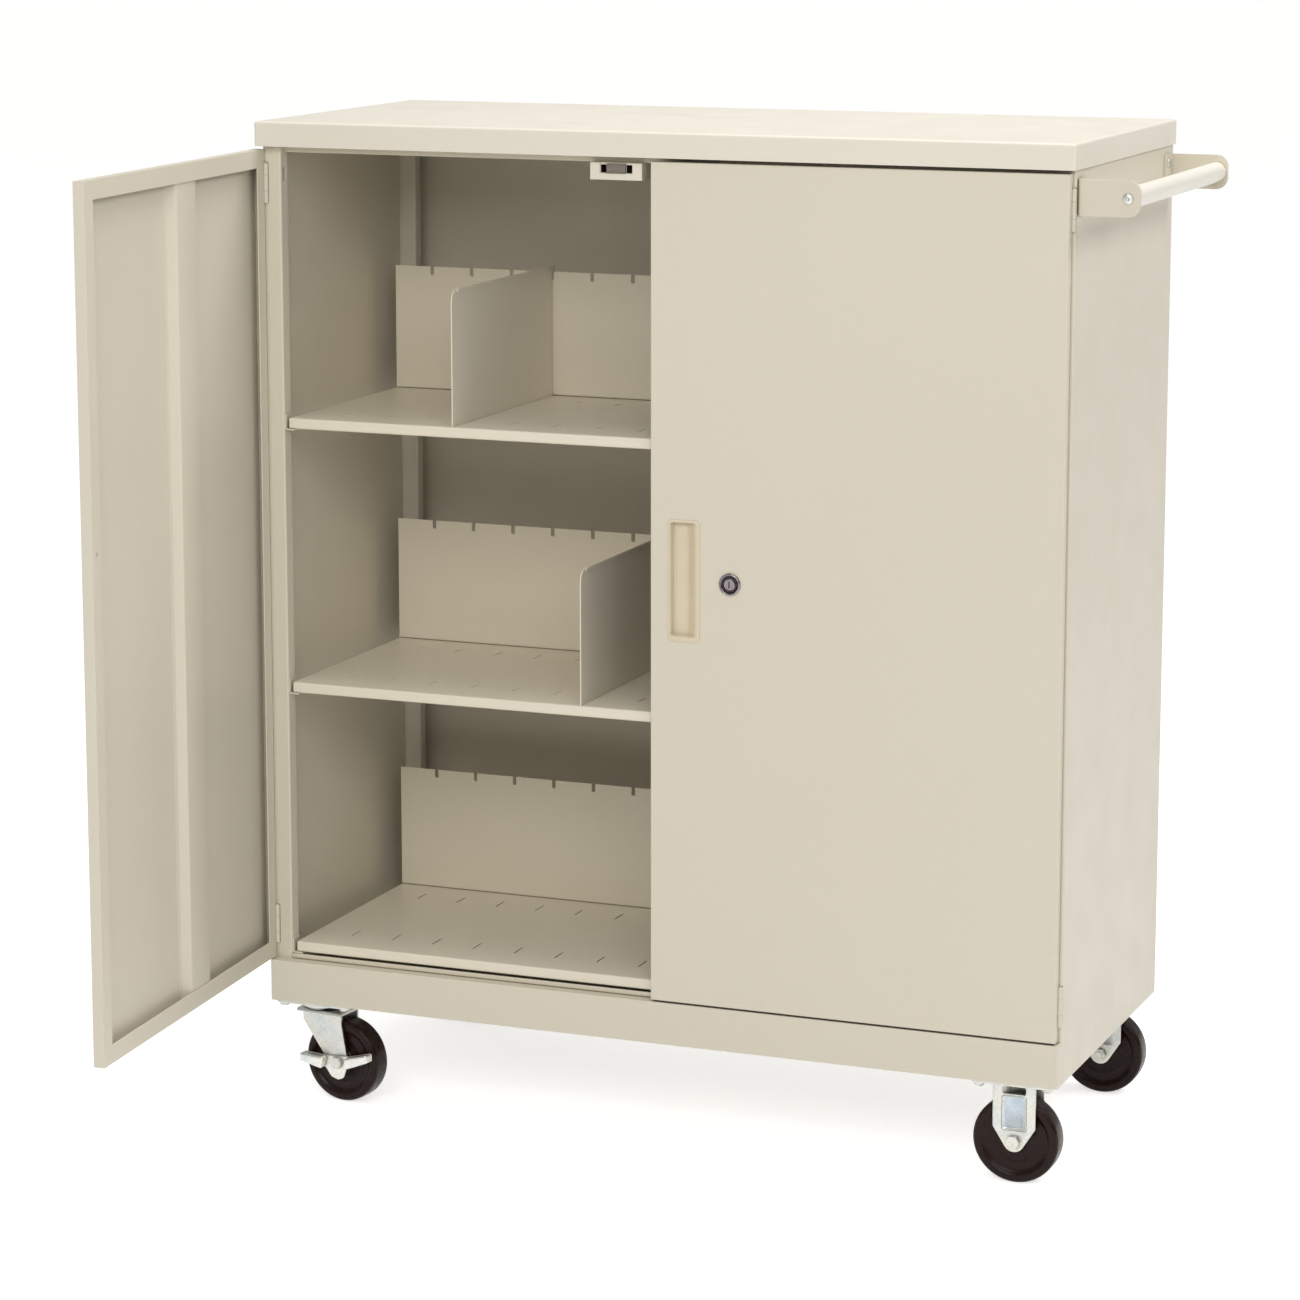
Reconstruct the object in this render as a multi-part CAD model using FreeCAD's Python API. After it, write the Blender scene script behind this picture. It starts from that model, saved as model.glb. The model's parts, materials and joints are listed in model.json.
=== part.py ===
import FreeCAD, Part
import math
import os

# Transport cart for filed folders: a folded steel cabinet on four casters.
# Two hinged doors close three slotted shelves with back stops and dividers,
# the right door has a recessed pull and a lock that drives two locking bars,
# and a round push handle stands off the right side.
# Millimetres. X runs along the width, Y to the back, Z up from the floor.

Vector = FreeCAD.Vector

# Whole cart
board_width = 940.0
board_depth = 412.0
board_thickness = 27.5
body_height = 929.5
base_height = 47.5
caster_height = 115.5
board_side_overhang = 3.0
board_front_overhang = 1.5

# Steel sheet
sheet = 1.2
base_sheet = 1.5
bend_radius = 1.0
board_edge_radius = 3.0
overrun = 5.0
fit_gap = 0.3
touching = 0.001
hexagon_sides = 6

# Top board and head
board_flange = 28.0
head_height = 7.5

# Side panels
stile_width = 22.0
stile_return = 16.0
rear_flange = 24.0
side_slot_width = 8.0
side_slot_height = 15.0
side_slot_drop = 24.5

# Base
base_front_flange = 30.0
base_end_flange = 101.0
sill_height = 6.0
sill_foot = 18.0
backing_thickness = 3.0
backing_margin = 2.0

# Shelves
shelf_heights = {"bottom": 20.0, "middle": 323.0, "upper": 625.0}
shelf_end_gap = 5.2
shelf_front_gap = 2.0
shelf_back_gap = 12.0
shelf_lip = 12.0
shelf_lip_return = 10.0
slot_pitch = 50.8
slot_first = 47.3
shelf_slot_width = 2.0
shelf_slot_length = 26.0
shelf_slot_front = 45.0
shelf_slot_back = 225.0

# Shelf clips
clip_width = 14.0
clip_height = 18.0
clip_ledge = 12.0
clip_thickness = 1.5
clip_tongue_height = 6.0
clip_slot_play = 0.5
clip_front_distance = 1.0

# Rear posts that carry the back clips
post_depth = 16.0
post_back_distance = 40.0

# Back stops and dividers
stop_height = 145.0
stop_depth = 283.0
stop_foot = 28.0
notch_width = 4.5
notch_depth = 9.7
divider_thickness = 1.2
divider_height = 152.0
divider_front_gap = 1.0
divider_corner = 14.0
divider_hem = 3.0
divider_hook = 7.0
divider_hook_drop = 6.0
divider_tab = 4.0
divider_tab_play = 1.0
divider_places = {"upper": 3, "middle": 6}

# Doors
door_thickness = 13.0
door_back_gap = 0.5
door_top_gap = 4.0
door_bottom_gap = 2.0
door_meeting_gap = 3.0
door_edge_gap = 0.5
door_flange = 20.0
door_face_radius = 1.5
door_fold_radius = 2.0
left_door_angle = 86.0
stiffener_share = 0.4015
stiffener_crown = 50.0
stiffener_foot = 11.0
flange_hole_radius = 3.0
flange_hole_drop = 382.5

# Hinges
hinge_inset = 3.0
barrel_radius = 3.5
barrel_length = 44.0
barrel_end_distance = 15.7
barrel_clearance = 0.6
knuckle_gap = 0.3
knuckle_shares = (0.3, 0.7)
leaf_thickness = 1.5
leaf_width = 12.4
leaf_corner = 3.0
pin_radius = 1.75
pin_play = 0.05
pin_head_radius = 2.6
pin_head_height = 0.8

# Magnetic catches
catch_offset = 44.0
catch_width = 60.0
catch_height = 18.5
catch_depth = 26.0
catch_front_gap = 1.0
catch_corner = 2.0
catch_pocket = 9.0
catch_pocket_depth = 5.0
catch_pocket_spacing = 33.0
catch_pocket_drop = 2.0
magnet_width = 20.0
magnet_height = 8.0
magnet_depth = 12.0
magnet_door_gap = 0.3
magnet_drop = 3.5

# Recessed pull
pull_width = 37.0
pull_height = 134.0
pull_edge_distance = 39.0
pull_rise_share = 0.511
pull_frame_proud = 1.0
pull_frame_width = 5.0
pull_corner = 4.0
pull_lip = 1.5
pull_wall = 1.2
pull_depth = 10.0
pull_frame_edge = 0.7
pull_body_corner = 2.5

# Lock
lock_pull_distance = 53.0
bezel_radius = 12.25
bezel_height = 2.5
bezel_chamfer = 0.8
housing_radius = 9.5
housing_reach = 4.8
nut_flats = 23.0
nut_thickness = 2.8
plug_radius = 6.5
plug_play = 0.06
plug_proud = 0.3
key_slot_width = 1.4
key_slot_height = 7.5
key_slot_depth = 3.0
lock_layer_gap = 0.4
cam_thickness = 2.0
cam_pin_circle = 12.0
cam_pin_radius = 2.0
cam_eye_radius = 4.2
lock_swing = 90.0

# Locking bars
bar_width = 10.0
bar_thickness = 2.5
bar_head_width = 15.6
bar_head_height = 18.0
bar_slot_play = 0.6
bar_end_inset = 0.5
bar_hole_play = 0.5
bar_tip_chamfer = 2.0
guide_height = 14.0
guide_foot = 7.0
guide_play = 0.4
guide_thickness = 1.0
guide_shares = (0.26, 0.76)

# Push handle
handle_drop = 28.5
handle_height = 38.0
handle_stand_off = 54.0
handle_radius = 11.0
handle_wall = 1.6
handle_plug_depth = 14.0
handle_end_inset = 18.0
handle_plate = 3.5
handle_foot = 27.0
handle_end_reach = 13.0
handle_corner = 13.0
handle_screw_radius = 3.0
handle_screw_head = 5.5
handle_screw_height = 2.6
handle_screw_dome_share = 0.8
handle_screw_length = 9.0
handle_foot_screw_spacing = 20.0

# Casters
wheel_radius = 48.0
wheel_width = 27.0
tread_thickness = 9.0
tread_shoulder = 4.5
rim_recess = 3.5
hub_radius = 12.0
hub_width = 30.4
axle_radius = 4.0
axle_play = 0.08
axle_nut_flats = 13.0
axle_nut_thickness = 5.5
caster_inset_x = 51.0
caster_inset_y = 31.0
plate_length = 92.0
plate_width = 58.0
plate_thickness = 3.0
plate_corner = 7.0
plate_bolt_length = 76.0
plate_bolt_width = 42.0
caster_bolt_radius = 3.0
caster_bolt_head = 5.8
caster_bolt_head_height = 4.2
caster_nut_height = 4.0
raceway_radius = 23.0
raceway_neck = 17.0
raceway_height = 8.0
raceway_gap = 0.3
fork_sheet = 2.5
fork_width = 36.0
fork_leg = 52.0
fork_front = 15.0
fork_crown_reach = 24.0
fork_tip_radius = 12.0
fork_edge_round = 4.0
swivel_leg_straight = 12.0
fixed_leg_straight = 49.0
fork_panel_depth = 1.3
fork_panel_margin = 8.5
fork_panel_height = 37.0
fork_panel_drop = 16.0
fork_window_height = 8.0
fork_window_drop = 7.5
trail = 33.0
swivel_angles = {"front": -8.0, "rear": 12.0}
kingpin_radius = 6.0
kingpin_play = 0.08
kingpin_head_radius = 9.5
kingpin_head_height = 4.0
pedal_sheet = 2.0
pedal_reach = 46.0
pedal_tip = 21.0
pedal_pad = 12.0
pedal_gap = 0.3
pedal_round = 2.0
pedal_reach_shares = (-1.0, -0.36, -0.2, 0.0, 0.17, 0.26, 1.0, 1.0, 0.34, -0.3, -1.0)
pedal_tip_shares = (-0.1, -0.38, -0.85, -1.0, -0.85, -0.3, 0.36, 0.82, 0.42, 0.3, 0.34)

# Places that follow from the sizes
base_bottom = caster_height
base_top = base_bottom + base_height
board_bottom = base_top + body_height
overall_height = board_bottom + board_thickness
half_body = board_width / 2 - board_side_overhang
face_front = board_front_overhang
body_back = board_depth - board_front_overhang
stile_front = face_front + door_thickness + door_back_gap
stile_inner = half_body - stile_width
back_panel_back = body_back - sheet
back_panel_front = back_panel_back - sheet
door_bottom = base_top + door_bottom_gap
door_top = board_bottom - door_top_gap
hinge_x = half_body - hinge_inset
door_back = -door_back_gap
door_face = door_back - door_thickness
door_free_edge = hinge_x - door_meeting_gap / 2
shelf_end = stile_inner - shelf_end_gap
shelf_front = stile_front + shelf_front_gap
shelf_back = back_panel_front - shelf_back_gap
head_bottom = board_bottom - head_height


def box(x0, x1, y0, y1, z0, z1):
    return Part.makeBox(x1 - x0, y1 - y0, z1 - z0, Vector(x0, y0, z0))


def rod_y(x, z, radius, y0, y1):
    return Part.makeCylinder(radius, y1 - y0, Vector(x, y0, z), Vector(0, 1, 0))


def rod_z(x, y, radius, z0, z1):
    return Part.makeCylinder(radius, z1 - z0, Vector(x, y, z0))


def fused(shapes):
    whole = shapes[0]
    for shape in shapes[1:]:
        whole = whole.fuse(shape)
    return whole.removeSplitter()


def mirrored(shape):
    return shape.mirror(Vector(0, 0, 0), Vector(1, 0, 0))


def moved(shape, x, y, z):
    copy = shape.copy()
    copy.translate(Vector(x, y, z))
    return copy


def turned(shape, angle):
    copy = shape.copy()
    copy.rotate(Vector(0, 0, 0), Vector(0, 0, 1), angle)
    return copy


def plane_point(plane, point, level):
    a, b = point
    if plane == "xy":
        return Vector(a, b, level)
    if plane == "xz":
        return Vector(a, level, b)
    return Vector(level, a, b)


def outline_face(points, radii, plane, level):
    """Flat face inside a closed outline whose corners are rounded by the radii."""
    corners = [plane_point(plane, point, level) for point in points]
    count = len(corners)
    edges = []
    ends = []
    for index, corner in enumerate(corners):
        radius = radii[index]
        if radius == 0:
            ends.append((corner, corner))
            continue
        before = (corners[index - 1] - corner).normalize()
        after = (corners[(index + 1) % count] - corner).normalize()
        half = before.getAngle(after) / 2
        run = radius / math.tan(half)
        middle = (before + after).normalize() * (radius / math.sin(half) - radius)
        start = corner + before * run
        end = corner + after * run
        edges.append(Part.Arc(start, corner + middle, end).toShape())
        ends.append((start, end))
    for index in range(count):
        start = ends[index - 1][1]
        end = ends[index][0]
        if not start.isEqual(end, touching):
            edges.append(Part.makeLine(start, end))
    return Part.Face(Part.Wire(Part.__sortEdges__(edges)))


def plate(points, radii, plane, level, thickness):
    """Plate of the given outline, laid from its level along the plane's normal."""
    normal = {"xy": Vector(0, 0, 1), "xz": Vector(0, 1, 0), "yz": Vector(1, 0, 0)}[plane]
    return outline_face(points, radii, plane, level).extrude(normal * thickness)


def rectangle(a0, a1, b0, b1):
    return [(a0, b0), (a1, b0), (a1, b1), (a0, b1)]


def folded(path, thickness, bend, plane, level, length):
    """Sheet folded along a path, its thickness laid to the left of the path."""
    count = len(path)
    normals = []
    for index in range(count - 1):
        run = (path[index + 1][0] - path[index][0], path[index + 1][1] - path[index][1])
        size = math.hypot(*run)
        normals.append((-run[1] / size, run[0] / size))
    outer_radii = [0]
    inner_radii = [0]
    inner = [(path[0][0] + normals[0][0] * thickness, path[0][1] + normals[0][1] * thickness)]
    for index in range(1, count - 1):
        n0, n1 = normals[index - 1], normals[index]
        stretch = thickness / (1 + n0[0] * n1[0] + n0[1] * n1[1])
        inner.append((path[index][0] + (n0[0] + n1[0]) * stretch,
                      path[index][1] + (n0[1] + n1[1]) * stretch))
        left_turn = n0[0] * n1[1] - n0[1] * n1[0] > 0
        outer_radii.append(bend + thickness if left_turn else bend)
        inner_radii.append(bend if left_turn else bend + thickness)
    inner.append((path[-1][0] + normals[-1][0] * thickness,
                  path[-1][1] + normals[-1][1] * thickness))
    points = list(path) + inner[::-1]
    radii = outer_radii + [0, 0] + inner_radii[::-1]
    return plate(points, radii, plane, level, length)


def edges_near(shape, test):
    return [edge for edge in shape.Edges if test(edge.BoundBox)]


def hexagon(flats, x, z, y0, y1):
    """Hexagonal prism along Y, with its flats the given size apart."""
    turn = 2 * math.pi / hexagon_sides
    corner = flats / 2 / math.cos(turn / 2)
    points = []
    for index in range(hexagon_sides):
        angle = turn * index
        points.append((x + corner * math.cos(angle), z + corner * math.sin(angle)))
    return plate(points, [0] * len(points), "xz", y0, y1 - y0)


def top_board():
    """Folded top with skirts all round and flanges turned in underneath."""
    shell = box(-board_width / 2, board_width / 2, 0, board_depth, board_bottom, overall_height)
    rounded = edges_near(shell, lambda b: b.ZMin > board_bottom + sheet or b.ZLength > sheet)
    shell = shell.makeFillet(board_edge_radius, rounded)
    half = board_width / 2 - sheet
    hollow = box(-half, half, sheet, board_depth - sheet, board_bottom + sheet, overall_height - sheet)
    window_half = board_width / 2 - board_flange
    window = box(-window_half, window_half, board_flange, board_depth - board_flange,
                 board_bottom - overrun, board_bottom + sheet + overrun)
    board = shell.cut(hollow).cut(window)
    x, y = bar_world(1)
    return board.cut(bar_hole(x, y, board_bottom - overrun, board_bottom + sheet + overrun))


def head_frame():
    """Ceiling of the cabinet: a shallow tray with its edges turned up to the board."""
    half = half_body - sheet
    tray = box(-half, half, stile_front, back_panel_front, head_bottom, board_bottom)
    hollow = box(-half + sheet, half - sheet, stile_front + sheet, back_panel_front - sheet,
                 head_bottom + sheet, board_bottom + overrun)
    tray = tray.cut(hollow)
    for side in (-1, 1):
        inner = side * (stile_inner - fit_gap)
        outer = side * (half + overrun)
        front = box(min(inner, outer), max(inner, outer), stile_front - overrun,
                    stile_front + stile_return + fit_gap, head_bottom - overrun, board_bottom + overrun)
        tray = tray.cut(front)
    return tray


def shelf_levels():
    return {name: base_top + height for name, height in shelf_heights.items()}


def clip_front_y():
    return stile_front + clip_front_distance


def clip_back_y():
    return back_panel_front - post_back_distance + (post_depth - clip_width) / 2


def tongue_slots(x0, x1, y0):
    """Slots at every clip for its tongue, through an upright that faces inward."""
    slots = []
    for level in shelf_levels().values():
        bottom = level - shelf_lip - clip_thickness
        slots.append(box(x0, x1, y0 - clip_slot_play, y0 + clip_width / 2 + clip_slot_play,
                         bottom - clip_slot_play, bottom + clip_tongue_height + clip_slot_play))
    return slots


def side_panel(bolt_holes):
    """Left side: sheet folded into a front stile with an inward return, and a rear flange."""
    path = [(-stile_inner, stile_front + stile_return), (-stile_inner, stile_front),
            (-half_body, stile_front), (-half_body, body_back), (-half_body + rear_flange, body_back)]
    panel = folded(path[::-1], sheet, bend_radius, "xy", base_top, body_height)
    x0 = -stile_inner - sheet - overrun
    x1 = -stile_inner + overrun
    slot_y = stile_front + (stile_return - side_slot_width) / 2
    slot_top = board_bottom - side_slot_drop
    panel = panel.cut(box(x0, x1, slot_y, slot_y + side_slot_width,
                          slot_top - side_slot_height, slot_top))
    for slot in tongue_slots(x0, x1, clip_front_y() + clip_width / 4):
        panel = panel.cut(slot)
    for notch in barrel_notches():
        panel = panel.cut(on_left(notch))
    for y, z in bolt_holes:
        hole = Part.makeCylinder(handle_screw_radius + fit_gap, sheet + 2 * overrun,
                                 Vector(-half_body - overrun, y, z), Vector(1, 0, 0))
        panel = panel.cut(hole)
    return panel


def back_panel():
    """Back sheet between the sides, against their rear flanges."""
    half = half_body - sheet - bend_radius
    return box(-half, half, back_panel_front, back_panel_back, base_top, board_bottom)


def rear_post(side):
    """Slotted post inside one rear corner, folded to a channel against the side."""
    outer = -half_body + sheet
    y0 = back_panel_front - post_back_distance
    path = [(outer, y0), (-stile_inner, y0), (-stile_inner, y0 + post_depth), (outer, y0 + post_depth)]
    post = folded(path, sheet, bend_radius, "xy", base_top, body_height - head_height)
    for slot in tongue_slots(-stile_inner - sheet - overrun, -stile_inner + overrun,
                             clip_back_y() + clip_width / 4):
        post = post.cut(slot)
    return post if side < 0 else mirrored(post)


def base_frame():
    """Plinth: folded walls with a closed deck on top and wide caster flanges below."""
    shell = box(-half_body, half_body, face_front, body_back, base_bottom, base_top)
    upright = edges_near(shell, lambda b: b.ZLength > base_sheet)
    shell = shell.makeFillet(bend_radius + base_sheet, upright)
    half = half_body - base_sheet
    hollow = box(-half, half, face_front + base_sheet, body_back - base_sheet,
                 base_bottom + base_sheet, base_top - base_sheet)
    low_half = half_body - base_end_flange
    low_window = box(-low_half, low_half, face_front + base_front_flange, body_back - base_front_flange,
                     base_bottom - overrun, base_bottom + base_sheet + overrun)
    frame = shell.cut(hollow).cut(low_window)
    for x, y in caster_bolt_places():
        frame = frame.cut(rod_z(x, y, caster_bolt_radius + fit_gap,
                                base_bottom - overrun, base_bottom + base_sheet + overrun))
    x, y = bar_world(-1)
    return frame.cut(bar_hole(x, y, base_top - base_sheet - overrun, base_top + overrun))


def door_sill():
    """Raised stop strip behind the doors, its foot on the deck of the base."""
    path = [(stile_front + sill_foot, base_top), (stile_front, base_top),
            (stile_front, base_top + sill_height)]
    length = 2 * (stile_inner - fit_gap)
    return folded(path[::-1], sheet, bend_radius, "yz", -stile_inner + fit_gap, length)


def caster_centres():
    x = half_body - caster_inset_x
    return {
        "front_left": (-x, face_front + caster_inset_y),
        "rear_left": (-x, body_back - caster_inset_y),
        "front_right": (x, face_front + caster_inset_y),
        "rear_right": (x, body_back - caster_inset_y),
    }


def caster_bolt_places():
    places = []
    for x, y in caster_centres().values():
        for side_x in (-1, 1):
            for side_y in (-1, 1):
                places.append((x + side_x * plate_bolt_length / 2, y + side_y * plate_bolt_width / 2))
    return places


def backing_plates():
    """Reinforcing plates on the inside of the base over each caster."""
    plates = []
    bottom = base_bottom + base_sheet
    for x, y in caster_centres().values():
        half_x = plate_length / 2 - backing_margin
        front = max(y - plate_width / 2, face_front + base_sheet + backing_margin)
        back = min(y + plate_width / 2, body_back - base_sheet - backing_margin)
        points = rectangle(x - half_x, x + half_x, front, back)
        plates.append(plate(points, [plate_corner] * len(points), "xy", bottom, backing_thickness))
    whole = Part.makeCompound(plates)
    for x, y in caster_bolt_places():
        whole = whole.cut(rod_z(x, y, caster_bolt_radius + fit_gap,
                                bottom - overrun, bottom + backing_thickness + overrun))
    return whole


def divider_x(index):
    return -shelf_end + slot_first + index * slot_pitch


def slot_count():
    return math.ceil((2 * shelf_end - slot_first - notch_width) / slot_pitch)


def shelf(level):
    """Shelf folded down on four sides, its front lip turned in, with divider slots."""
    shell = box(-shelf_end, shelf_end, shelf_front, shelf_back, level - shelf_lip, level)
    lips = edges_near(shell, lambda b: b.YMax < shelf_front + sheet and b.XLength > shelf_lip)
    shell = shell.makeFillet(bend_radius + sheet, lips)
    half = shelf_end - sheet
    hollow = box(-half, half, shelf_front + sheet, shelf_back - sheet,
                 level - shelf_lip + sheet, level - sheet)
    window = box(-half, half, shelf_front + shelf_lip_return, shelf_back - sheet,
                 level - shelf_lip - overrun, level - shelf_lip + sheet + overrun)
    deck = shell.cut(hollow).cut(window)
    slots = []
    for index in range(slot_count()):
        x = divider_x(index)
        for start in (shelf_slot_front, shelf_slot_back):
            slots.append(box(x - shelf_slot_width / 2, x + shelf_slot_width / 2,
                             shelf_front + start, shelf_front + start + shelf_slot_length,
                             level - sheet - overrun, level + overrun))
    return deck.cut(Part.makeCompound(slots))


def shelf_clips():
    """Hooked clips: a tongue in the upright and a ledge under the shelf's end."""
    clips = []
    for level in shelf_levels().values():
        bottom = level - shelf_lip - clip_thickness
        for y in (clip_front_y(), clip_back_y()):
            x = -stile_inner
            path = [(x + clip_ledge, bottom), (x, bottom), (x, bottom + clip_height)]
            clip = folded(path[::-1], clip_thickness, bend_radius, "xz", y, clip_width)
            tongue = box(x - sheet - clip_thickness, x + clip_thickness,
                         y + clip_width / 4, y + clip_width * 3 / 4,
                         bottom + bend_radius + clip_thickness,
                         bottom + clip_tongue_height)
            clip = clip.fuse(tongue).removeSplitter()
            clips.append(clip)
            clips.append(mirrored(clip))
    return Part.makeCompound(clips)


def back_stop(level):
    """Upright stop across the shelf, with a notch for a divider at every slot."""
    y = shelf_front + stop_depth
    path = [(y + stop_foot, level), (y, level), (y, level + stop_height)]
    stop = folded(path[::-1], sheet, bend_radius, "yz", -shelf_end, 2 * shelf_end)
    notches = []
    top = level + stop_height
    for index in range(slot_count()):
        x = divider_x(index)
        notches.append(box(x - notch_width / 2, x + notch_width / 2, y - overrun, y + sheet + overrun,
                           top - notch_depth, top + overrun))
    return stop.cut(Part.makeCompound(notches))


def divider(level, index):
    """Sheet divider: hooks over the back stop and stands in two slots of the shelf."""
    y0 = shelf_front + divider_front_gap
    y1 = shelf_front + stop_depth - fit_gap
    top = level + divider_height
    hook_seat = level + stop_height - notch_depth + fit_gap
    hook_back = y1 + fit_gap + sheet + fit_gap + divider_hook
    hook_inner = hook_back - divider_hook
    points = [(y0, level), (y1, level), (y1, hook_seat), (hook_inner, hook_seat),
              (hook_inner, hook_seat - divider_hook_drop), (hook_back, hook_seat - divider_hook_drop),
              (hook_back, top), (y0, top)]
    radii = [0, 0, 0, 0, bend_radius, bend_radius, divider_hook / 2, divider_corner]
    x = divider_x(index) - divider_thickness / 2
    blade = plate(points, radii, "yz", x, divider_thickness)
    for start in (shelf_slot_front, shelf_slot_back):
        y = shelf_front + start + divider_tab_play
        tab = rectangle(y, y + shelf_slot_length - 2 * divider_tab_play, level - divider_tab, level)
        tab_radii = [bend_radius, bend_radius, 0, 0]
        blade = blade.fuse(plate(tab, tab_radii, "yz", x, divider_thickness))
    hem = rectangle(y0 + divider_corner, y1 - divider_corner, top - divider_hem, top)
    blade = blade.fuse(plate(hem, [0] * len(hem), "yz", x + divider_thickness, divider_thickness))
    return blade.removeSplitter()


def barrel_spans():
    return [(door_bottom + barrel_end_distance, door_bottom + barrel_end_distance + barrel_length),
            (door_top - barrel_end_distance - barrel_length, door_top - barrel_end_distance)]


def barrel_notches():
    """Room round the barrels and the heads of their pins, about the axis at the origin."""
    return [rod_z(0, 0, barrel_radius + barrel_clearance, z0 - knuckle_gap,
                  z1 + pin_head_height + knuckle_gap) for z0, z1 in barrel_spans()]


def hinge_leaves(of_door):
    """Upper and lower leaf of a butt hinge about the axis at the origin, with knuckles."""
    leaves = []
    start = barrel_radius + barrel_clearance
    y0 = door_back - sheet - leaf_thickness if of_door else sheet
    y1 = y0 + leaf_thickness
    for z0, z1 in barrel_spans():
        low = z0 + knuckle_shares[0] * barrel_length
        high = z0 + knuckle_shares[1] * barrel_length
        if of_door:
            knuckles = [(low + knuckle_gap / 2, high - knuckle_gap / 2)]
        else:
            knuckles = [(z0, low - knuckle_gap / 2), (high + knuckle_gap / 2, z1)]
        outline = rectangle(start, start + leaf_width, z0, z1)
        leaf = plate(outline, [0, leaf_corner, leaf_corner, 0], "xz", y0, leaf_thickness)
        for k0, k1 in knuckles:
            leaf = leaf.fuse(rod_z(0, 0, barrel_radius, k0, k1))
            leaf = leaf.fuse(box(0, start, y0, y1, k0, k1))
        leaf = leaf.cut(rod_z(0, 0, pin_radius + pin_play, z0 - overrun, z1 + overrun))
        leaves.append(leaf.removeSplitter())
    return Part.makeCompound(leaves)


def hinge_pins():
    """Headed pins through the knuckles of both hinges of a door."""
    pins = []
    for z0, z1 in barrel_spans():
        pin = rod_z(0, 0, pin_radius, z0, z1)
        head = rod_z(0, 0, pin_head_radius, z1, z1 + pin_head_height)
        pins.append(pin.fuse(head).removeSplitter())
    return Part.makeCompound(pins)


def door_pan(cutters):
    """Door: a pan folded back on four edges with returned flanges, about its hinge axis."""
    x0 = door_edge_gap
    x1 = door_free_edge
    shell = box(x0, x1, door_face, door_back, door_bottom, door_top)
    folds = edges_near(shell, lambda b: b.YMax > door_back - touching and b.XMax < x0 + touching
                       and b.ZLength > door_flange)
    shell = shell.makeFillet(door_fold_radius, folds)
    faces = edges_near(shell, lambda b: b.YMax < door_face + touching)
    shell = shell.makeFillet(door_face_radius, faces)
    hollow = box(x0 + sheet, x1 - sheet, door_face + sheet, door_back - sheet,
                 door_bottom + sheet, door_top - sheet)
    inner_folds = edges_near(hollow, lambda b: b.YMax > door_back - sheet - touching
                             and b.XMax < x0 + sheet + touching and b.ZLength > door_flange)
    hollow = hollow.makeFillet(door_fold_radius - sheet / 2, inner_folds)
    window = plate(rectangle(x0 + door_flange, x1 - door_flange,
                             door_bottom + door_flange, door_top - door_flange),
                   [bend_radius] * 4, "xz", door_back - sheet - overrun / 2, sheet + overrun)
    pan = shell.cut(hollow).cut(window)
    for cutter in barrel_notches() + cutters:
        pan = pan.cut(cutter)
    return pan


def door_stiffener():
    """Hat channel welded up the inside of a door, its crown just under the flanges."""
    foot_y = door_face + sheet
    crown_y = door_back - sheet - fit_gap
    x0 = stiffener_share * door_free_edge
    x1 = x0 + stiffener_crown
    path = [(x0 - stiffener_foot, foot_y + sheet), (x0, foot_y + sheet), (x0, crown_y),
            (x1, crown_y), (x1, foot_y + sheet), (x1 + stiffener_foot, foot_y + sheet)]
    z0 = door_bottom + sheet + fit_gap
    z1 = door_top - sheet - fit_gap
    return folded(path[::-1], sheet, bend_radius, "xy", z0, z1 - z0)


def catch_housings():
    """Moulded housings of the magnetic catches, under the head behind each door."""
    housings = []
    x0 = -catch_offset - catch_width / 2
    y0 = stile_front + catch_front_gap
    z1 = head_bottom
    outline = rectangle(x0, x0 + catch_width, z1 - catch_height, z1)
    body = plate(outline, [catch_corner, catch_corner, 0, 0], "xz", y0, catch_depth)
    pocket_top = z1 - catch_pocket_drop
    for side in (-1, 1):
        x = -catch_offset + side * catch_pocket_spacing / 2 - catch_pocket / 2
        body = body.cut(box(x, x + catch_pocket, y0 - overrun, y0 + catch_pocket_depth,
                            pocket_top - catch_pocket, pocket_top))
    magnet_x = -catch_offset - magnet_width / 2
    magnet_top = z1 - magnet_drop
    socket = box(magnet_x - fit_gap, magnet_x + magnet_width + fit_gap, y0 - overrun,
                 y0 + magnet_depth, magnet_top - magnet_height - fit_gap, magnet_top + fit_gap)
    body = body.cut(socket)
    housings.append(body)
    housings.append(mirrored(body))
    return Part.makeCompound(housings)


def catch_magnets():
    """Magnet bars seated in the housings, standing just clear of the closed doors."""
    x0 = -catch_offset - magnet_width / 2
    y0 = stile_front - door_back_gap + magnet_door_gap
    y1 = stile_front + catch_front_gap + magnet_depth
    z1 = head_bottom - magnet_drop
    bar = box(x0, x0 + magnet_width, y0, y1, z1 - magnet_height, z1)
    front = edges_near(bar, lambda b: b.YMax < y0 + touching)
    bar = bar.makeChamfer(magnet_door_gap, front)
    return Part.makeCompound([bar, mirrored(bar)])


def pull_centre():
    return door_free_edge - pull_edge_distance, door_bottom + pull_rise_share * (door_top - door_bottom)


def pull_outline(margin_x, margin_z):
    x, z = pull_centre()
    half_width = pull_width / 2 - margin_x
    half_height = pull_height / 2 - margin_z
    return rectangle(x - half_width, x + half_width, z - half_height, z + half_height)


def pull_recess():
    """Hole in the door sheet for the body of the pull."""
    margin = pull_lip - fit_gap
    return plate(pull_outline(margin, margin), [pull_body_corner] * 4, "xz",
                 door_face - overrun, overrun + sheet + fit_gap)


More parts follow.
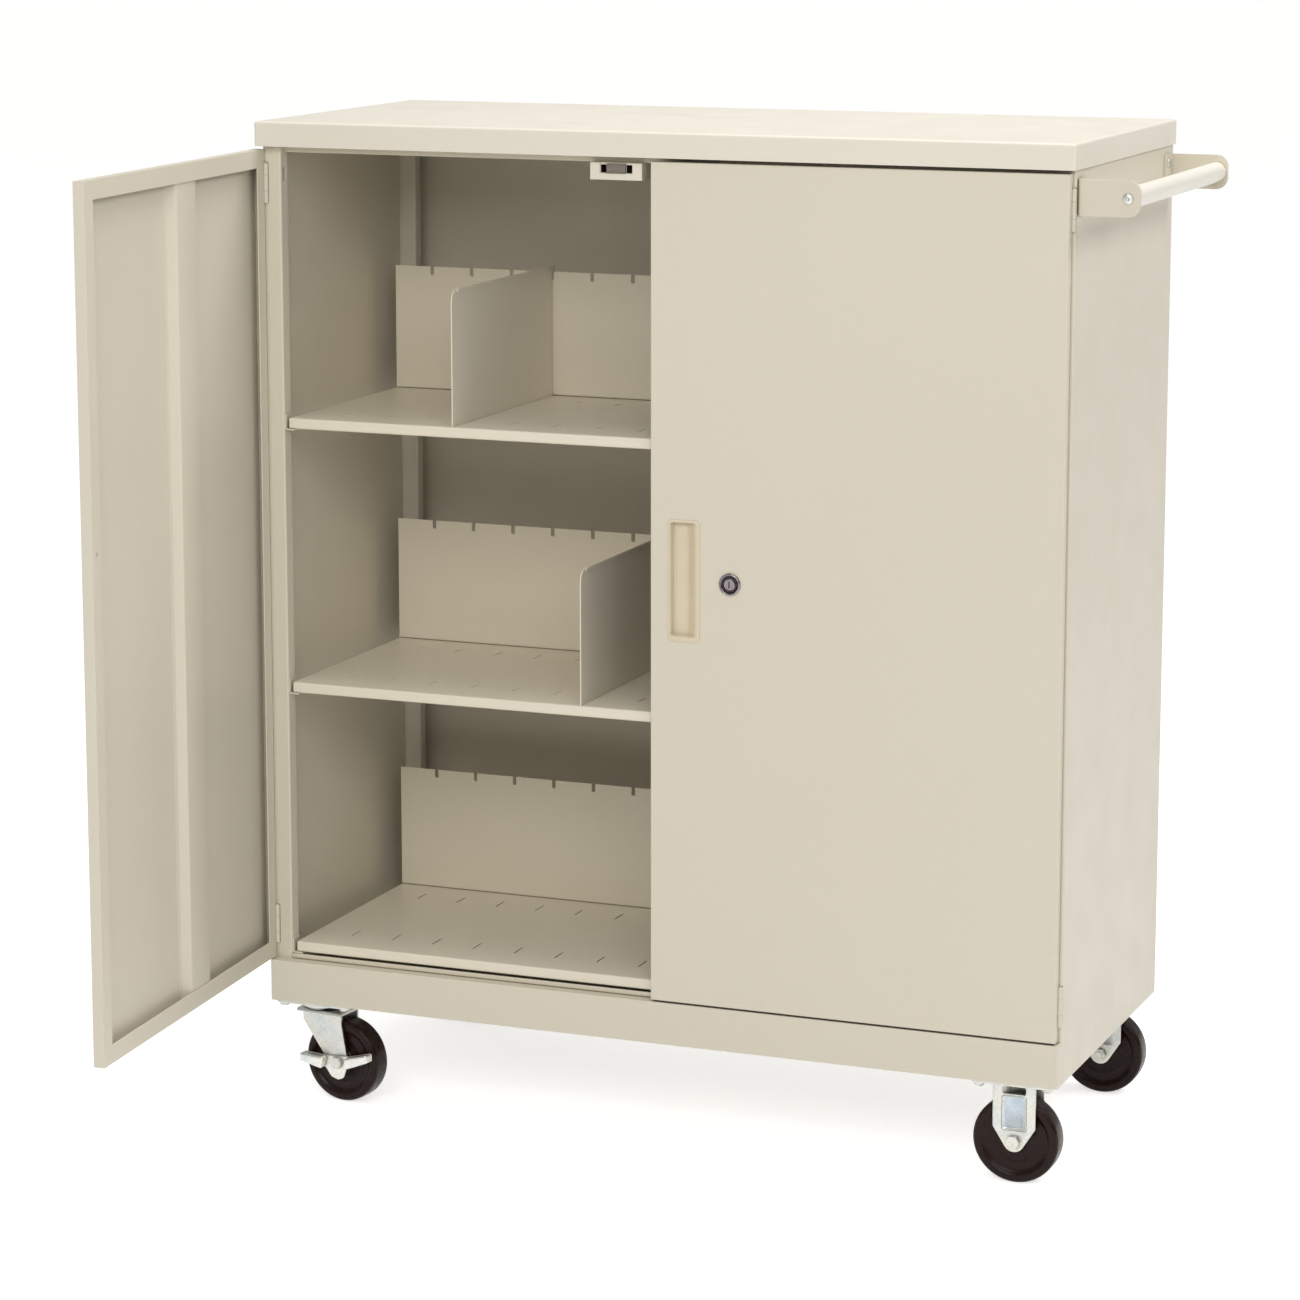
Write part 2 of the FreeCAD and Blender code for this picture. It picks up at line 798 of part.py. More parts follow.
def pull_cup():
    """Moulded pull: a proud frame round a cup that is undercut behind the free edge."""
    x, z = pull_centre()
    frame = plate(pull_outline(0, 0), [pull_corner] * 4, "xz", door_face - pull_frame_proud,
                  pull_frame_proud)
    front = edges_near(frame, lambda b: b.YMax < door_face - pull_frame_proud + touching)
    frame = frame.makeFillet(pull_frame_edge, front)
    body = plate(pull_outline(pull_lip, pull_lip), [pull_body_corner] * 4, "xz", door_face,
                 pull_depth + pull_wall)
    opening = plate(pull_outline(pull_frame_width, pull_frame_width), [pull_corner] * 4, "xz",
                    door_face - overrun, overrun + pull_depth)
    cavity_x0 = x - pull_width / 2 + pull_frame_width
    cavity_x1 = x + pull_width / 2 - pull_lip - pull_wall
    cavity_half = pull_height / 2 - pull_frame_width
    cavity = plate(rectangle(cavity_x0, cavity_x1, z - cavity_half, z + cavity_half),
                   [pull_body_corner] * 4, "xz", door_face + pull_wall, pull_depth - pull_wall)
    return frame.fuse(body).removeSplitter().cut(opening).cut(cavity)


def lock_centre():
    x, z = pull_centre()
    return x - lock_pull_distance, z


def lock_hole():
    x, z = lock_centre()
    return rod_y(x, z, housing_radius + fit_gap, door_face - overrun, door_face + sheet + overrun / 2)


def lock_housing():
    """Lock body: a chamfered bezel on the door and a barrel through its sheet."""
    x, z = lock_centre()
    bezel = rod_y(x, z, bezel_radius, door_face - bezel_height, door_face)
    front = edges_near(bezel, lambda b: b.YMax < door_face - bezel_height + touching)
    bezel = bezel.makeChamfer(bezel_chamfer, front)
    barrel = rod_y(x, z, housing_radius, door_face, door_face + housing_reach)
    bore = rod_y(x, z, plug_radius + plug_play, door_face - bezel_height - overrun,
                 door_face + housing_reach + overrun)
    return bezel.fuse(barrel).removeSplitter().cut(bore)


def lock_nut():
    x, z = lock_centre()
    y0 = door_face + sheet
    nut = hexagon(nut_flats, x, z, y0, y0 + nut_thickness)
    return nut.cut(rod_y(x, z, housing_radius + fit_gap / 2, y0 - overrun, y0 + nut_thickness + overrun))


def cam_front():
    return door_face + housing_reach + lock_layer_gap


def bar_front():
    return cam_front() + cam_thickness + lock_layer_gap


def lock_plug():
    """Turning plug with its key slot, reaching back to carry the cam."""
    x, z = lock_centre()
    y0 = door_face - bezel_height - plug_proud
    plug = rod_y(x, z, plug_radius, y0, cam_front())
    front = edges_near(plug, lambda b: b.YMax < y0 + touching)
    plug = plug.makeChamfer(bezel_chamfer, front)
    slot = box(x - key_slot_width / 2, x + key_slot_width / 2, y0 - overrun, y0 + key_slot_depth,
               z - key_slot_height / 2, z + key_slot_height / 2)
    return plug.cut(slot)


def cam_pin_angles():
    return (-math.radians(lock_swing / 2), math.pi - math.radians(lock_swing / 2))


def lock_cam():
    """Two-armed cam with a driving pin at each end, one for each locking bar."""
    x, z = lock_centre()
    y0 = cam_front()
    pieces = [rod_y(x, z, plug_radius, y0, y0 + cam_thickness)]
    for angle in cam_pin_angles():
        pin_x = x + cam_pin_circle * math.cos(angle)
        pin_z = z + cam_pin_circle * math.sin(angle)
        pieces.append(rod_y(pin_x, pin_z, cam_eye_radius, y0, y0 + cam_thickness))
        pieces.append(rod_y(pin_x, pin_z, cam_pin_radius, y0,
                            bar_front() + bar_thickness + lock_layer_gap))
        across_x = -math.sin(angle) * cam_eye_radius
        across_z = math.cos(angle) * cam_eye_radius
        arm = [(x + across_x, z + across_z), (x - across_x, z - across_z),
               (pin_x - across_x, pin_z - across_z), (pin_x + across_x, pin_z + across_z)]
        pieces.append(plate(arm, [0] * len(arm), "xz", y0, cam_thickness))
    return fused(pieces)


def pin_reach_range():
    near = cam_pin_circle * math.cos(math.radians(lock_swing / 2))
    return near, cam_pin_circle


def bar_offset():
    near, far = pin_reach_range()
    return (near + far) / 2


def bar_travel():
    return 2 * cam_pin_circle * math.sin(math.radians(lock_swing / 2))


def bar_world(side):
    """Place in plan of the upper (1) or lower (-1) locking bar with the right door closed."""
    x = hinge_x - lock_centre()[0] - side * bar_offset()
    return x, stile_front + bar_front() + bar_thickness / 2


def bar_hole(x, y, z0, z1):
    half_x = bar_width / 2 + bar_hole_play
    half_y = bar_thickness / 2 + bar_hole_play
    return box(x - half_x, x + half_x, y - half_y, y + half_y, z0, z1)


def bar_door_hole(side):
    """Hole for a locking bar in the top or bottom fold of the door."""
    x = lock_centre()[0] + side * bar_offset()
    y = bar_front() + bar_thickness / 2
    if side > 0:
        return bar_hole(x, y, door_top - sheet - overrun, door_top + overrun)
    return bar_hole(x, y, door_bottom - overrun, door_bottom + sheet + overrun)


def locking_bar(side):
    """Flat bar with a slotted head on its cam pin; the upper one for 1, the lower for -1."""
    x, z = lock_centre()
    bar_x = x + side * bar_offset()
    pin_z = z - side * bar_travel() / 2
    y0 = bar_front()
    head = rectangle(bar_x - bar_head_width / 2, bar_x + bar_head_width / 2,
                     pin_z - bar_head_height / 2, pin_z + bar_head_height / 2)
    head_plate = plate(head, [bar_tip_chamfer] * len(head), "xz", y0, bar_thickness)
    if side > 0:
        z0, z1 = pin_z, door_top - bar_end_inset
    else:
        z0, z1 = door_bottom + bar_end_inset, pin_z
    shank = rectangle(bar_x - bar_width / 2, bar_x + bar_width / 2, z0, z1)
    tip = bar_tip_chamfer
    radii = [0, 0, tip, tip] if side > 0 else [tip, tip, 0, 0]
    bar = head_plate.fuse(plate(shank, radii, "xz", y0, bar_thickness)).removeSplitter()
    near, far = pin_reach_range()
    half_length = (far - near) / 2 + cam_pin_radius + bar_slot_play
    half_height = cam_pin_radius + bar_slot_play
    slot = rectangle(bar_x - half_length, bar_x + half_length, pin_z - half_height, pin_z + half_height)
    corner = half_height - bar_slot_play
    return bar.cut(plate(slot, [corner] * len(slot), "xz", y0 - overrun, bar_thickness + 2 * overrun))


def bar_guides():
    """Bridges welded inside the door that the locking bars slide under."""
    x, z = lock_centre()
    foot_y = door_face + sheet
    bridge_y = bar_front() + bar_thickness + guide_play + guide_thickness
    guides = []
    for side in (-1, 1):
        bar_x = x + side * bar_offset()
        half = bar_width / 2 + guide_play + guide_thickness
        low = foot_y + guide_thickness
        path = [(bar_x - half - guide_foot, low), (bar_x - half, low), (bar_x - half, bridge_y),
                (bar_x + half, bridge_y), (bar_x + half, low), (bar_x + half + guide_foot, low)]
        end = door_top if side > 0 else door_bottom
        for share in guide_shares:
            z0 = z + share * (end - z) - guide_height / 2
            guides.append(folded(path[::-1], guide_thickness, 0, "xy", z0, guide_height))
    return Part.makeCompound(guides)


def handle_centre():
    return half_body + handle_stand_off, board_bottom - handle_drop


def handle_bolt_places():
    """Places of the foot screws in the right side, as distance to the back and height."""
    z = handle_centre()[1]
    front = handle_end_inset + handle_plate + handle_foot / 2
    places = []
    for y in (front, board_depth - front):
        for side in (-1, 1):
            places.append((y, z + side * handle_foot_screw_spacing / 2))
    return places


def handle_bracket():
    """Front end bracket of the push handle: an angle with a rounded outer end."""
    x, z = handle_centre()
    y0 = handle_end_inset
    x1 = x + handle_end_reach
    z0 = z - handle_height / 2
    path = [(half_body, y0 + handle_foot), (half_body, y0), (x1, y0)]
    bracket = folded(path, handle_plate, bend_radius, "xy", z0, handle_height)
    ends = edges_near(bracket, lambda b: b.XMin > x1 - touching and b.YLength > touching)
    bracket = bracket.makeFillet(handle_corner, ends)
    feet = edges_near(bracket, lambda b: b.YMin > y0 + handle_foot - touching
                      and b.XLength > touching and b.ZLength < touching)
    bracket = bracket.makeFillet(handle_corner / 2, feet)
    bracket = bracket.cut(rod_y(x, z, handle_screw_radius + fit_gap, y0 - overrun,
                                y0 + handle_plate + overrun))
    for y, hole_z in handle_bolt_places():
        hole = Part.makeCylinder(handle_screw_radius + fit_gap, handle_plate + 2 * overrun,
                                 Vector(half_body - overrun, y, hole_z), Vector(1, 0, 0))
        bracket = bracket.cut(hole)
    return bracket


def front_to_back(shape):
    return shape.mirror(Vector(0, board_depth / 2, 0), Vector(0, 1, 0))


def handle_tube():
    """Round tube between the brackets, plugged at both ends for the end screws."""
    x, z = handle_centre()
    y0 = handle_end_inset + handle_plate
    y1 = board_depth - y0
    tube = rod_y(x, z, handle_radius, y0, y1)
    bore = rod_y(x, z, handle_radius - handle_wall, y0 + handle_plug_depth, y1 - handle_plug_depth)
    thread = rod_y(x, z, handle_screw_radius + fit_gap, y0 - overrun, y1 + overrun)
    return tube.cut(bore).cut(thread)


def handle_screws():
    """Domed screws in the tube's ends and through the bracket feet into the side."""
    x, z = handle_centre()
    y0 = handle_end_inset
    end = screw()
    end.rotate(Vector(0, 0, 0), Vector(1, 0, 0), -90)
    end.translate(Vector(x, y0, z))
    screws = [end, front_to_back(end)]
    for y, hole_z in handle_bolt_places():
        foot = screw()
        foot.rotate(Vector(0, 0, 0), Vector(0, 1, 0), -90)
        foot.translate(Vector(half_body + handle_plate, y, hole_z))
        screws.append(foot)
    return Part.makeCompound(screws)


def screw():
    """Screw with a rounded head, its seat at the origin and its shank along +Z."""
    head = rod_z(0, 0, handle_screw_head, -handle_screw_height, 0)
    crown = edges_near(head, lambda b: b.ZMax < -handle_screw_height + touching)
    head = head.makeFillet(handle_screw_height * handle_screw_dome_share, crown)
    return head.fuse(rod_z(0, 0, handle_screw_radius, 0, handle_screw_length)).removeSplitter()


def caster_plate(swivel):
    """Top plate with its bolt holes and, on a swivel caster, the raceway and kingpin."""
    z1 = base_bottom
    z0 = z1 - plate_thickness
    half_x, half_y = plate_length / 2, plate_width / 2
    outline = rectangle(-half_x, half_x, -half_y, half_y)
    top = plate(outline, [plate_corner] * len(outline), "xy", z0, plate_thickness)
    for side_x in (-1, 1):
        for side_y in (-1, 1):
            hole_x = side_x * plate_bolt_length / 2
            hole_y = side_y * plate_bolt_width / 2
            top = top.cut(rod_z(hole_x, hole_y, caster_bolt_radius + fit_gap,
                                z0 - overrun, z1 + overrun))
    if not swivel:
        return top
    race = Part.makeCone(raceway_neck, raceway_radius, raceway_height / 2,
                         Vector(0, 0, z0 - raceway_height))
    drum = rod_z(0, 0, raceway_radius, z0 - raceway_height / 2, z0)
    crown_bottom = crown_top(swivel) - fork_sheet
    pin = rod_z(0, 0, kingpin_radius, crown_bottom - raceway_gap - kingpin_head_height, z0)
    head = rod_z(0, 0, kingpin_head_radius, crown_bottom - raceway_gap - kingpin_head_height,
                 crown_bottom - raceway_gap)
    return fused([top, drum, race, pin, head])


def crown_top(swivel):
    plate_bottom = base_bottom - plate_thickness
    return plate_bottom - raceway_height - raceway_gap if swivel else plate_bottom


def tangent_run(start, centre, radius, side):
    """Direction from a point that passes a circle on the side given by 1 or -1."""
    across, down = centre[0] - start[0], centre[1] - start[1]
    angle = math.atan2(down, across) + side * math.asin(radius / math.hypot(across, down))
    return math.cos(angle), math.sin(angle)


def leg_apex(front, back, straight, axle_x):
    """Point where the slanting edges of a leg meet below the circle round its tip."""
    centre = (axle_x, wheel_radius)
    a = tangent_run((front, straight), centre, fork_tip_radius, -1)
    b = tangent_run((back, straight), centre, fork_tip_radius, 1)
    along = (back - front) * b[1] / (a[0] * b[1] - a[1] * b[0])
    return front + along * a[0], straight + along * a[1]


def caster_fork(swivel):
    """Pressed fork: a crown and two legs that taper to the axle, in its own caster frame."""
    top = crown_top(swivel)
    axle_x = trail if swivel else 0
    front = -fork_front if swivel else -fork_leg / 2
    back = front + fork_leg
    straight = top - (swivel_leg_straight if swivel else fixed_leg_straight)
    crown_front = -fork_crown_reach if swivel else front
    tip = fork_tip_radius
    half = fork_width / 2
    path = [(-half, wheel_radius - tip), (-half, top), (half, top), (half, wheel_radius - tip)]
    points = [(front, straight), leg_apex(front, back, straight, axle_x), (back, straight), (back, top)]
    radii = [fork_edge_round, tip, fork_edge_round, 0]
    if swivel:
        shoulder = top - fork_sheet - bend_radius
        points += [(crown_front, top), (crown_front, shoulder), (front, shoulder)]
        radii += [0, 0, 0]
    else:
        points.append((front, top))
        radii.append(0)
    reach = max(back, axle_x + tip)
    channel = folded(path[::-1], fork_sheet, bend_radius, "yz", crown_front, reach - crown_front)
    fork = channel.common(plate(points, radii, "xz", -half - overrun, fork_width + 2 * overrun))
    fork = fork.cut(rod_y(axle_x, wheel_radius, axle_radius + axle_play, -half - overrun, half + overrun))
    if swivel:
        fork = fork.cut(rod_z(0, 0, kingpin_radius + kingpin_play, top - fork_sheet - overrun,
                              top + overrun))
    panel_x0 = front + fork_panel_margin
    panel_x1 = back - fork_panel_margin
    if not swivel:
        window_top = top - fork_window_drop
        window = plate(rectangle(panel_x0, panel_x1, window_top - fork_window_height, window_top),
                       [bend_radius] * 4, "xz", -half - overrun, fork_width + 2 * overrun)
        fork = fork.cut(window)
        panel_top = top - fork_panel_drop
        panel = rectangle(panel_x0, panel_x1, panel_top - fork_panel_height, panel_top)
        for y in (-half, half - fork_panel_depth):
            fork = fork.cut(plate(panel, [bend_radius] * 4, "xz", y, fork_panel_depth))
    return fork


def wheel():
    """Wheel about the Y axis: rounded tread, dished sides and a long hub."""
    half = wheel_width / 2
    dish = half - rim_recess
    hub = hub_width / 2
    rim = wheel_radius - tread_thickness
    bore = axle_radius + axle_play
    right = [(hub, bore), (hub, hub_radius), (dish, hub_radius + rim_recess), (dish, rim - rim_recess),
             (half, rim), (half, wheel_radius)]
    left = [(-y, r) for y, r in right[::-1]]
    points = right + left
    radii = [0] * len(points)
    radii[5] = tread_shoulder
    radii[6] = tread_shoulder
    face = outline_face(points, radii, "yz", 0)
    return face.revolve(Vector(0, 0, 0), Vector(0, 1, 0), 360)


def axle(pedal_side):
    """Axle bolt with its head at the front or outer side, and the nut at the other."""
    outer = fork_width / 2 + (pedal_gap + pedal_sheet + pedal_gap if pedal_side else 0)
    inner = fork_width / 2
    shank = rod_y(0, 0, axle_radius, -outer, inner + axle_nut_thickness + bend_radius)
    head = hexagon(axle_nut_flats, 0, 0, -outer - axle_nut_thickness, -outer)
    nut = hexagon(axle_nut_flats, 0, 0, inner, inner + axle_nut_thickness)
    nut = nut.cut(rod_y(0, 0, axle_radius + axle_play / 2, inner - overrun,
                        inner + axle_nut_thickness + overrun))
    return Part.makeCompound([head.fuse(shank).removeSplitter(), nut])


def brake_pedal():
    """Rocker pedal on the axle: a web with a lower tip and two toe pads bent outward."""
    y0 = -fork_width / 2 - pedal_gap - pedal_sheet
    points = [(a * pedal_reach, b * pedal_tip)
              for a, b in zip(pedal_reach_shares, pedal_tip_shares)]
    radii = [pedal_round, pedal_round, pedal_round, 0, pedal_round, pedal_round, pedal_round,
             pedal_round, 0, 0, pedal_round]
    web = plate(points, radii, "xz", y0, pedal_sheet)
    pads = []
    for first, second in ((-1, -2), (7, 8)):
        end = points[first]
        root = points[second]
        strip = [end, root, (root[0], root[1] - pedal_sheet), (end[0], end[1] - pedal_sheet)]
        pads.append(plate(strip, [0] * len(strip), "xz", y0 - pedal_pad, pedal_pad + pedal_sheet))
    pedal = fused([web] + pads)
    return pedal.cut(rod_y(0, 0, axle_radius + axle_play, y0 - overrun, y0 + pedal_sheet + overrun))


def caster_bolts():
    """Bolts up through each caster plate and the base, with nuts on the backing plates."""
    bolts = []
    seat = base_bottom - plate_thickness
    top = base_bottom + base_sheet + backing_thickness
    for x, y in caster_bolt_places():
        head = rod_z(x, y, caster_bolt_head, seat - caster_bolt_head_height, seat)
        rim = edges_near(head, lambda b: b.ZMax < seat - caster_bolt_head_height + touching)
        head = head.makeChamfer(caster_bolt_head_height / 3, rim)
        shank = rod_z(x, y, caster_bolt_radius, seat, top)
        nut = rod_z(x, y, caster_bolt_head, top, top + caster_nut_height)
        bolts.append(fused([head, shank, nut]))
    return Part.makeCompound(bolts)


def on_left(shape):
    """A closed-door piece put on the left hinge axis."""
    return moved(shape, -hinge_x, stile_front, 0)


def on_right(shape):
    return moved(mirrored(shape), hinge_x, stile_front, 0)


def on_both_sides(shape):
    return Part.makeCompound([on_left(shape), on_right(shape)])


def on_open_left(shape):
    return on_left(turned(shape, -left_door_angle))


def origin_shift():
    """Move that puts the origin at the bottom centre of the box round the whole cart."""
    angle = math.radians(left_door_angle)
    depth = -door_face - door_face_radius
    left = (-hinge_x + (door_edge_gap + door_face_radius) * math.cos(angle)
            - depth * math.sin(angle) - door_face_radius)
    front = (stile_front - (door_free_edge - door_face_radius) * math.sin(angle)
             - depth * math.cos(angle) - door_face_radius)
    right = half_body + handle_stand_off + handle_end_reach
    return -(left + right) / 2, -(front + board_depth) / 2


def build_cabinet():
    nodes = {
        "top_board": top_board(),
        "head_frame": head_frame(),
        "left_side": side_panel([]),
        "right_side": mirrored(side_panel(handle_bolt_places())),
        "back_panel": back_panel(),
        "left_rear_post": rear_post(-1),
        "right_rear_post": rear_post(1),
        "base_frame": base_frame(),
        "door_sill": door_sill(),
        "caster_backing_plates": backing_plates(),
        "shelf_clips": shelf_clips(),
        "catch_housings": catch_housings(),
        "catch_magnets": catch_magnets(),
    }
    for name, level in shelf_levels().items():
        nodes[name + "_shelf"] = shelf(level)
        nodes[name + "_back_stop"] = back_stop(level)
    for name, index in divider_places.items():
        nodes[name + "_divider"] = divider(shelf_levels()[name], index)
    nodes["hinge_frame_leaves"] = on_both_sides(hinge_leaves(False))
    nodes["hinge_pins"] = on_both_sides(hinge_pins())
    return nodes


def build_doors():
    x = door_free_edge - door_flange / 2
    z = door_top - flange_hole_drop
    flange_hole = rod_y(x, z, flange_hole_radius, door_back - sheet - overrun / 2, door_back + overrun)
    right_cutters = [pull_recess(), lock_hole(), bar_door_hole(1), bar_door_hole(-1)]
    leaves = hinge_leaves(True)
    return {
        "left_door_pan": on_open_left(door_pan([flange_hole])),
        "left_door_stiffener": on_open_left(door_stiffener()),
        "left_door_leaves": on_open_left(leaves),
        "right_door_pan": on_right(door_pan(right_cutters)),
        "right_door_stiffener": on_right(door_stiffener()),
        "right_door_leaves": on_right(leaves),
        "pull_cup": on_right(pull_cup()),
        "lock_housing": on_right(lock_housing()),
        "lock_nut": on_right(lock_nut()),
        "bar_guides": on_right(bar_guides()),
        "lock_plug": on_right(lock_plug()),
        "lock_cam": on_right(lock_cam()),
        "upper_locking_bar": on_right(locking_bar(1)),
        "lower_locking_bar": on_right(locking_bar(-1)),
    }


def build_handle():
    bracket = handle_bracket()
    return {
        "front_handle_bracket": bracket,
        "rear_handle_bracket": front_to_back(bracket),
        "handle_tube": handle_tube(),
        "handle_screws": handle_screws(),
    }


def build_casters():
    """Swivel casters with brakes at the left end and fixed ones under the handle."""
    nodes = {"caster_bolts": caster_bolts()}
    fixed_plates = []
    fixed_axles = []
    for name, (x, y) in caster_centres().items():
        end, hand = name.split("_")
        swivel = hand == "left"
        angle = swivel_angles[end] if swivel else 0
        axle_x = trail if swivel else 0
        pieces = {"wheel": wheel(), "axle": axle(swivel)}
        if swivel:
            pieces["brake_pedal"] = brake_pedal()
        for piece, shape in pieces.items():
            if end == "rear" and not swivel:
                shape = shape.mirror(Vector(0, 0, 0), Vector(0, 1, 0))
            pieces[piece] = moved(shape, axle_x, 0, wheel_radius)
        pieces["fork"] = caster_fork(swivel)
        pieces["plate"] = turned(caster_plate(swivel), -angle)
        for piece, shape in pieces.items():
            pieces[piece] = moved(turned(shape, angle), x, y, 0)
        if not swivel:
            fixed_plates.append(pieces.pop("plate"))
            fixed_axles.append(pieces.pop("axle"))
        for piece, shape in pieces.items():
            nodes[name + "_" + piece] = shape
    nodes["fixed_caster_plates"] = Part.makeCompound(fixed_plates)
    nodes["fixed_caster_axles"] = Part.makeCompound(fixed_axles)
    return nodes


def main():
    os.makedirs("parts", exist_ok=True)
    shift_x, shift_y = origin_shift()
    nodes = {}
    for group in (build_cabinet(), build_doors(), build_handle(), build_casters()):
        nodes.update(group)
    for name, shape in nodes.items():
        moved(shape, shift_x, shift_y, 0).exportStep("parts/" + name + ".step")
    print("shift", shift_x, shift_y, "nodes", len(nodes))


main()
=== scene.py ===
import bpy
import bmesh
import json
import math
from mathutils import Matrix, Vector

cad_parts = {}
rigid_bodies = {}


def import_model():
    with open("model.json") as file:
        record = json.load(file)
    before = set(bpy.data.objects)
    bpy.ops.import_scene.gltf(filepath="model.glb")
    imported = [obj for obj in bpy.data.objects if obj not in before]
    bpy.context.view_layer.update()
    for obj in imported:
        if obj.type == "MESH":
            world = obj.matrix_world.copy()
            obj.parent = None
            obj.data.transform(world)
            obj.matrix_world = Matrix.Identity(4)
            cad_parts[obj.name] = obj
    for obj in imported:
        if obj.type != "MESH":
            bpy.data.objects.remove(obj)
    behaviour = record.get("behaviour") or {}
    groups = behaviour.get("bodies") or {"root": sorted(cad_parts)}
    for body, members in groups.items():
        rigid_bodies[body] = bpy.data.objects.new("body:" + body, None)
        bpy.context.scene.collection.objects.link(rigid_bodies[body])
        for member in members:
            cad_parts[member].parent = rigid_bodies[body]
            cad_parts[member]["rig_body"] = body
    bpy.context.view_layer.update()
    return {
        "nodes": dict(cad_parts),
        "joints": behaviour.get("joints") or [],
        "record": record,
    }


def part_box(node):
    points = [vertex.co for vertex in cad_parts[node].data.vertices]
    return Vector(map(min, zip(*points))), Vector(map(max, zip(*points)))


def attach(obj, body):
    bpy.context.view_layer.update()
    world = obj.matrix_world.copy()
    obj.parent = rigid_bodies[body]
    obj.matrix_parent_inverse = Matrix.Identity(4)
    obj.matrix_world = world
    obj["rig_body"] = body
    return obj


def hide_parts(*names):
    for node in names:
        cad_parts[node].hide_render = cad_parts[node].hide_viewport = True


# Transport cart: painted steel cabinet with two doors on plated casters with rubber wheels.
# Metres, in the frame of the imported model.

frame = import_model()
nodes = frame["nodes"]
slots = {part["node"]: part["material_slot"] for part in frame["record"]["subparts"]}


# Shader building

class Shader:
    """A material under construction, with short calls for the nodes that it needs."""

    def __init__(self, name):
        self.material = bpy.data.materials.new(name)
        self.material.use_nodes = True
        self.tree = self.material.node_tree
        self.tree.nodes.clear()
        self.output = self.tree.nodes.new("ShaderNodeOutputMaterial")
        self.surface = self.tree.nodes.new("ShaderNodeBsdfPrincipled")
        self.join(self.surface.outputs[0], self.output.inputs["Surface"])
        self.place = self.tree.nodes.new("ShaderNodeTexCoord").outputs["Object"]

    def join(self, source, target):
        self.tree.links.new(source, target)

    def put(self, target, value):
        if isinstance(value, bpy.types.NodeSocket):
            self.join(value, target)
        else:
            target.default_value = value

    def set(self, **values):
        for name, value in values.items():
            self.put(self.surface.inputs[name.replace("_", " ")], value)

    def noise(self, scale, detail=2.0, roughness=0.5):
        node = self.tree.nodes.new("ShaderNodeTexNoise")
        node.inputs["Scale"].default_value = scale
        node.inputs["Detail"].default_value = detail
        node.inputs["Roughness"].default_value = roughness
        self.join(self.place, node.inputs["Vector"])
        return node.outputs[0]

    def cells(self, scale):
        node = self.tree.nodes.new("ShaderNodeTexVoronoi")
        node.inputs["Scale"].default_value = scale
        self.join(self.place, node.inputs["Vector"])
        return node.outputs[0]

    def span(self, value, low, high, to_low, to_high):
        """Map the range from low to high onto the range from to_low to to_high, and clamp."""
        node = self.tree.nodes.new("ShaderNodeMapRange")
        node.clamp = True
        node.inputs["From Min"].default_value = low
        node.inputs["From Max"].default_value = high
        node.inputs["To Min"].default_value = to_low
        node.inputs["To Max"].default_value = to_high
        self.join(value, node.inputs["Value"])
        return node.outputs[0]

    def maths(self, operation, first, second=0.0):
        node = self.tree.nodes.new("ShaderNodeMath")
        node.operation = operation
        self.put(node.inputs[0], first)
        self.put(node.inputs[1], second)
        return node.outputs[0]

    def reach(self):
        """Distance from the Y axis of the piece's own frame."""
        apart = self.tree.nodes.new("ShaderNodeSeparateXYZ")
        self.join(self.place, apart.inputs[0])
        square_x = self.maths("MULTIPLY", apart.outputs["X"], apart.outputs["X"])
        square_z = self.maths("MULTIPLY", apart.outputs["Z"], apart.outputs["Z"])
        return self.maths("SQRT", self.maths("ADD", square_x, square_z))

    def mixed(self, share, first, second, kind="MIX"):
        node = self.tree.nodes.new("ShaderNodeMix")
        node.data_type = "RGBA"
        node.blend_type = kind
        self.put(node.inputs[0], share)
        self.put(node.inputs[6], first)
        self.put(node.inputs[7], second)
        return node.outputs[2]

    def ramp(self, value, stops):
        node = self.tree.nodes.new("ShaderNodeValToRGB")
        ends = node.color_ramp.elements
        while len(ends) < len(stops):
            ends.new(0.5)
        for end, (place, colour) in zip(ends, stops):
            end.position = place
            end.color = colour
        self.join(value, node.inputs[0])
        return node.outputs[0]

    def creases(self, distance):
        """How open the surface is within the distance: 1 in the open, less in a corner."""
        node = self.tree.nodes.new("ShaderNodeAmbientOcclusion")
        node.samples = 4
        node.inputs["Distance"].default_value = distance
        return node.outputs["AO"]

    def edges(self, radius):
        """How far the surface turns within the radius: 0 on a flat, more on an edge."""
        bevel = self.tree.nodes.new("ShaderNodeBevel")
        bevel.samples = 4
        bevel.inputs["Radius"].default_value = radius
        shape = self.tree.nodes.new("ShaderNodeNewGeometry")
        dot = self.tree.nodes.new("ShaderNodeVectorMath")
        dot.operation = "DOT_PRODUCT"
        self.join(bevel.outputs[0], dot.inputs[0])
        self.join(shape.outputs["Normal"], dot.inputs[1])
        return self.maths("SUBTRACT", 1.0, dot.outputs["Value"])

    def bump(self, height, strength, distance, under=None):
        node = self.tree.nodes.new("ShaderNodeBump")
        node.inputs["Strength"].default_value = strength
        node.inputs["Distance"].default_value = distance
        self.join(height, node.inputs["Height"])
        if under is not None:
            self.join(under, node.inputs["Normal"])
        return node.outputs[0]


def tone(red, green, blue):
    """Colour of the screen, 0 to 255, as a shader colour."""
    parts = []
    for level in (red, green, blue):
        share = level / 255
        parts.append(share / 12.92 if share <= 0.04045 else ((share + 0.055) / 1.055) ** 2.4)
    return (*parts, 1.0)


def scaled(colour, red, green, blue):
    """Colour with its channels multiplied, at most 1."""
    return (min(1.0, colour[0] * red), min(1.0, colour[1] * green), min(1.0, colour[2] * blue), 1.0)


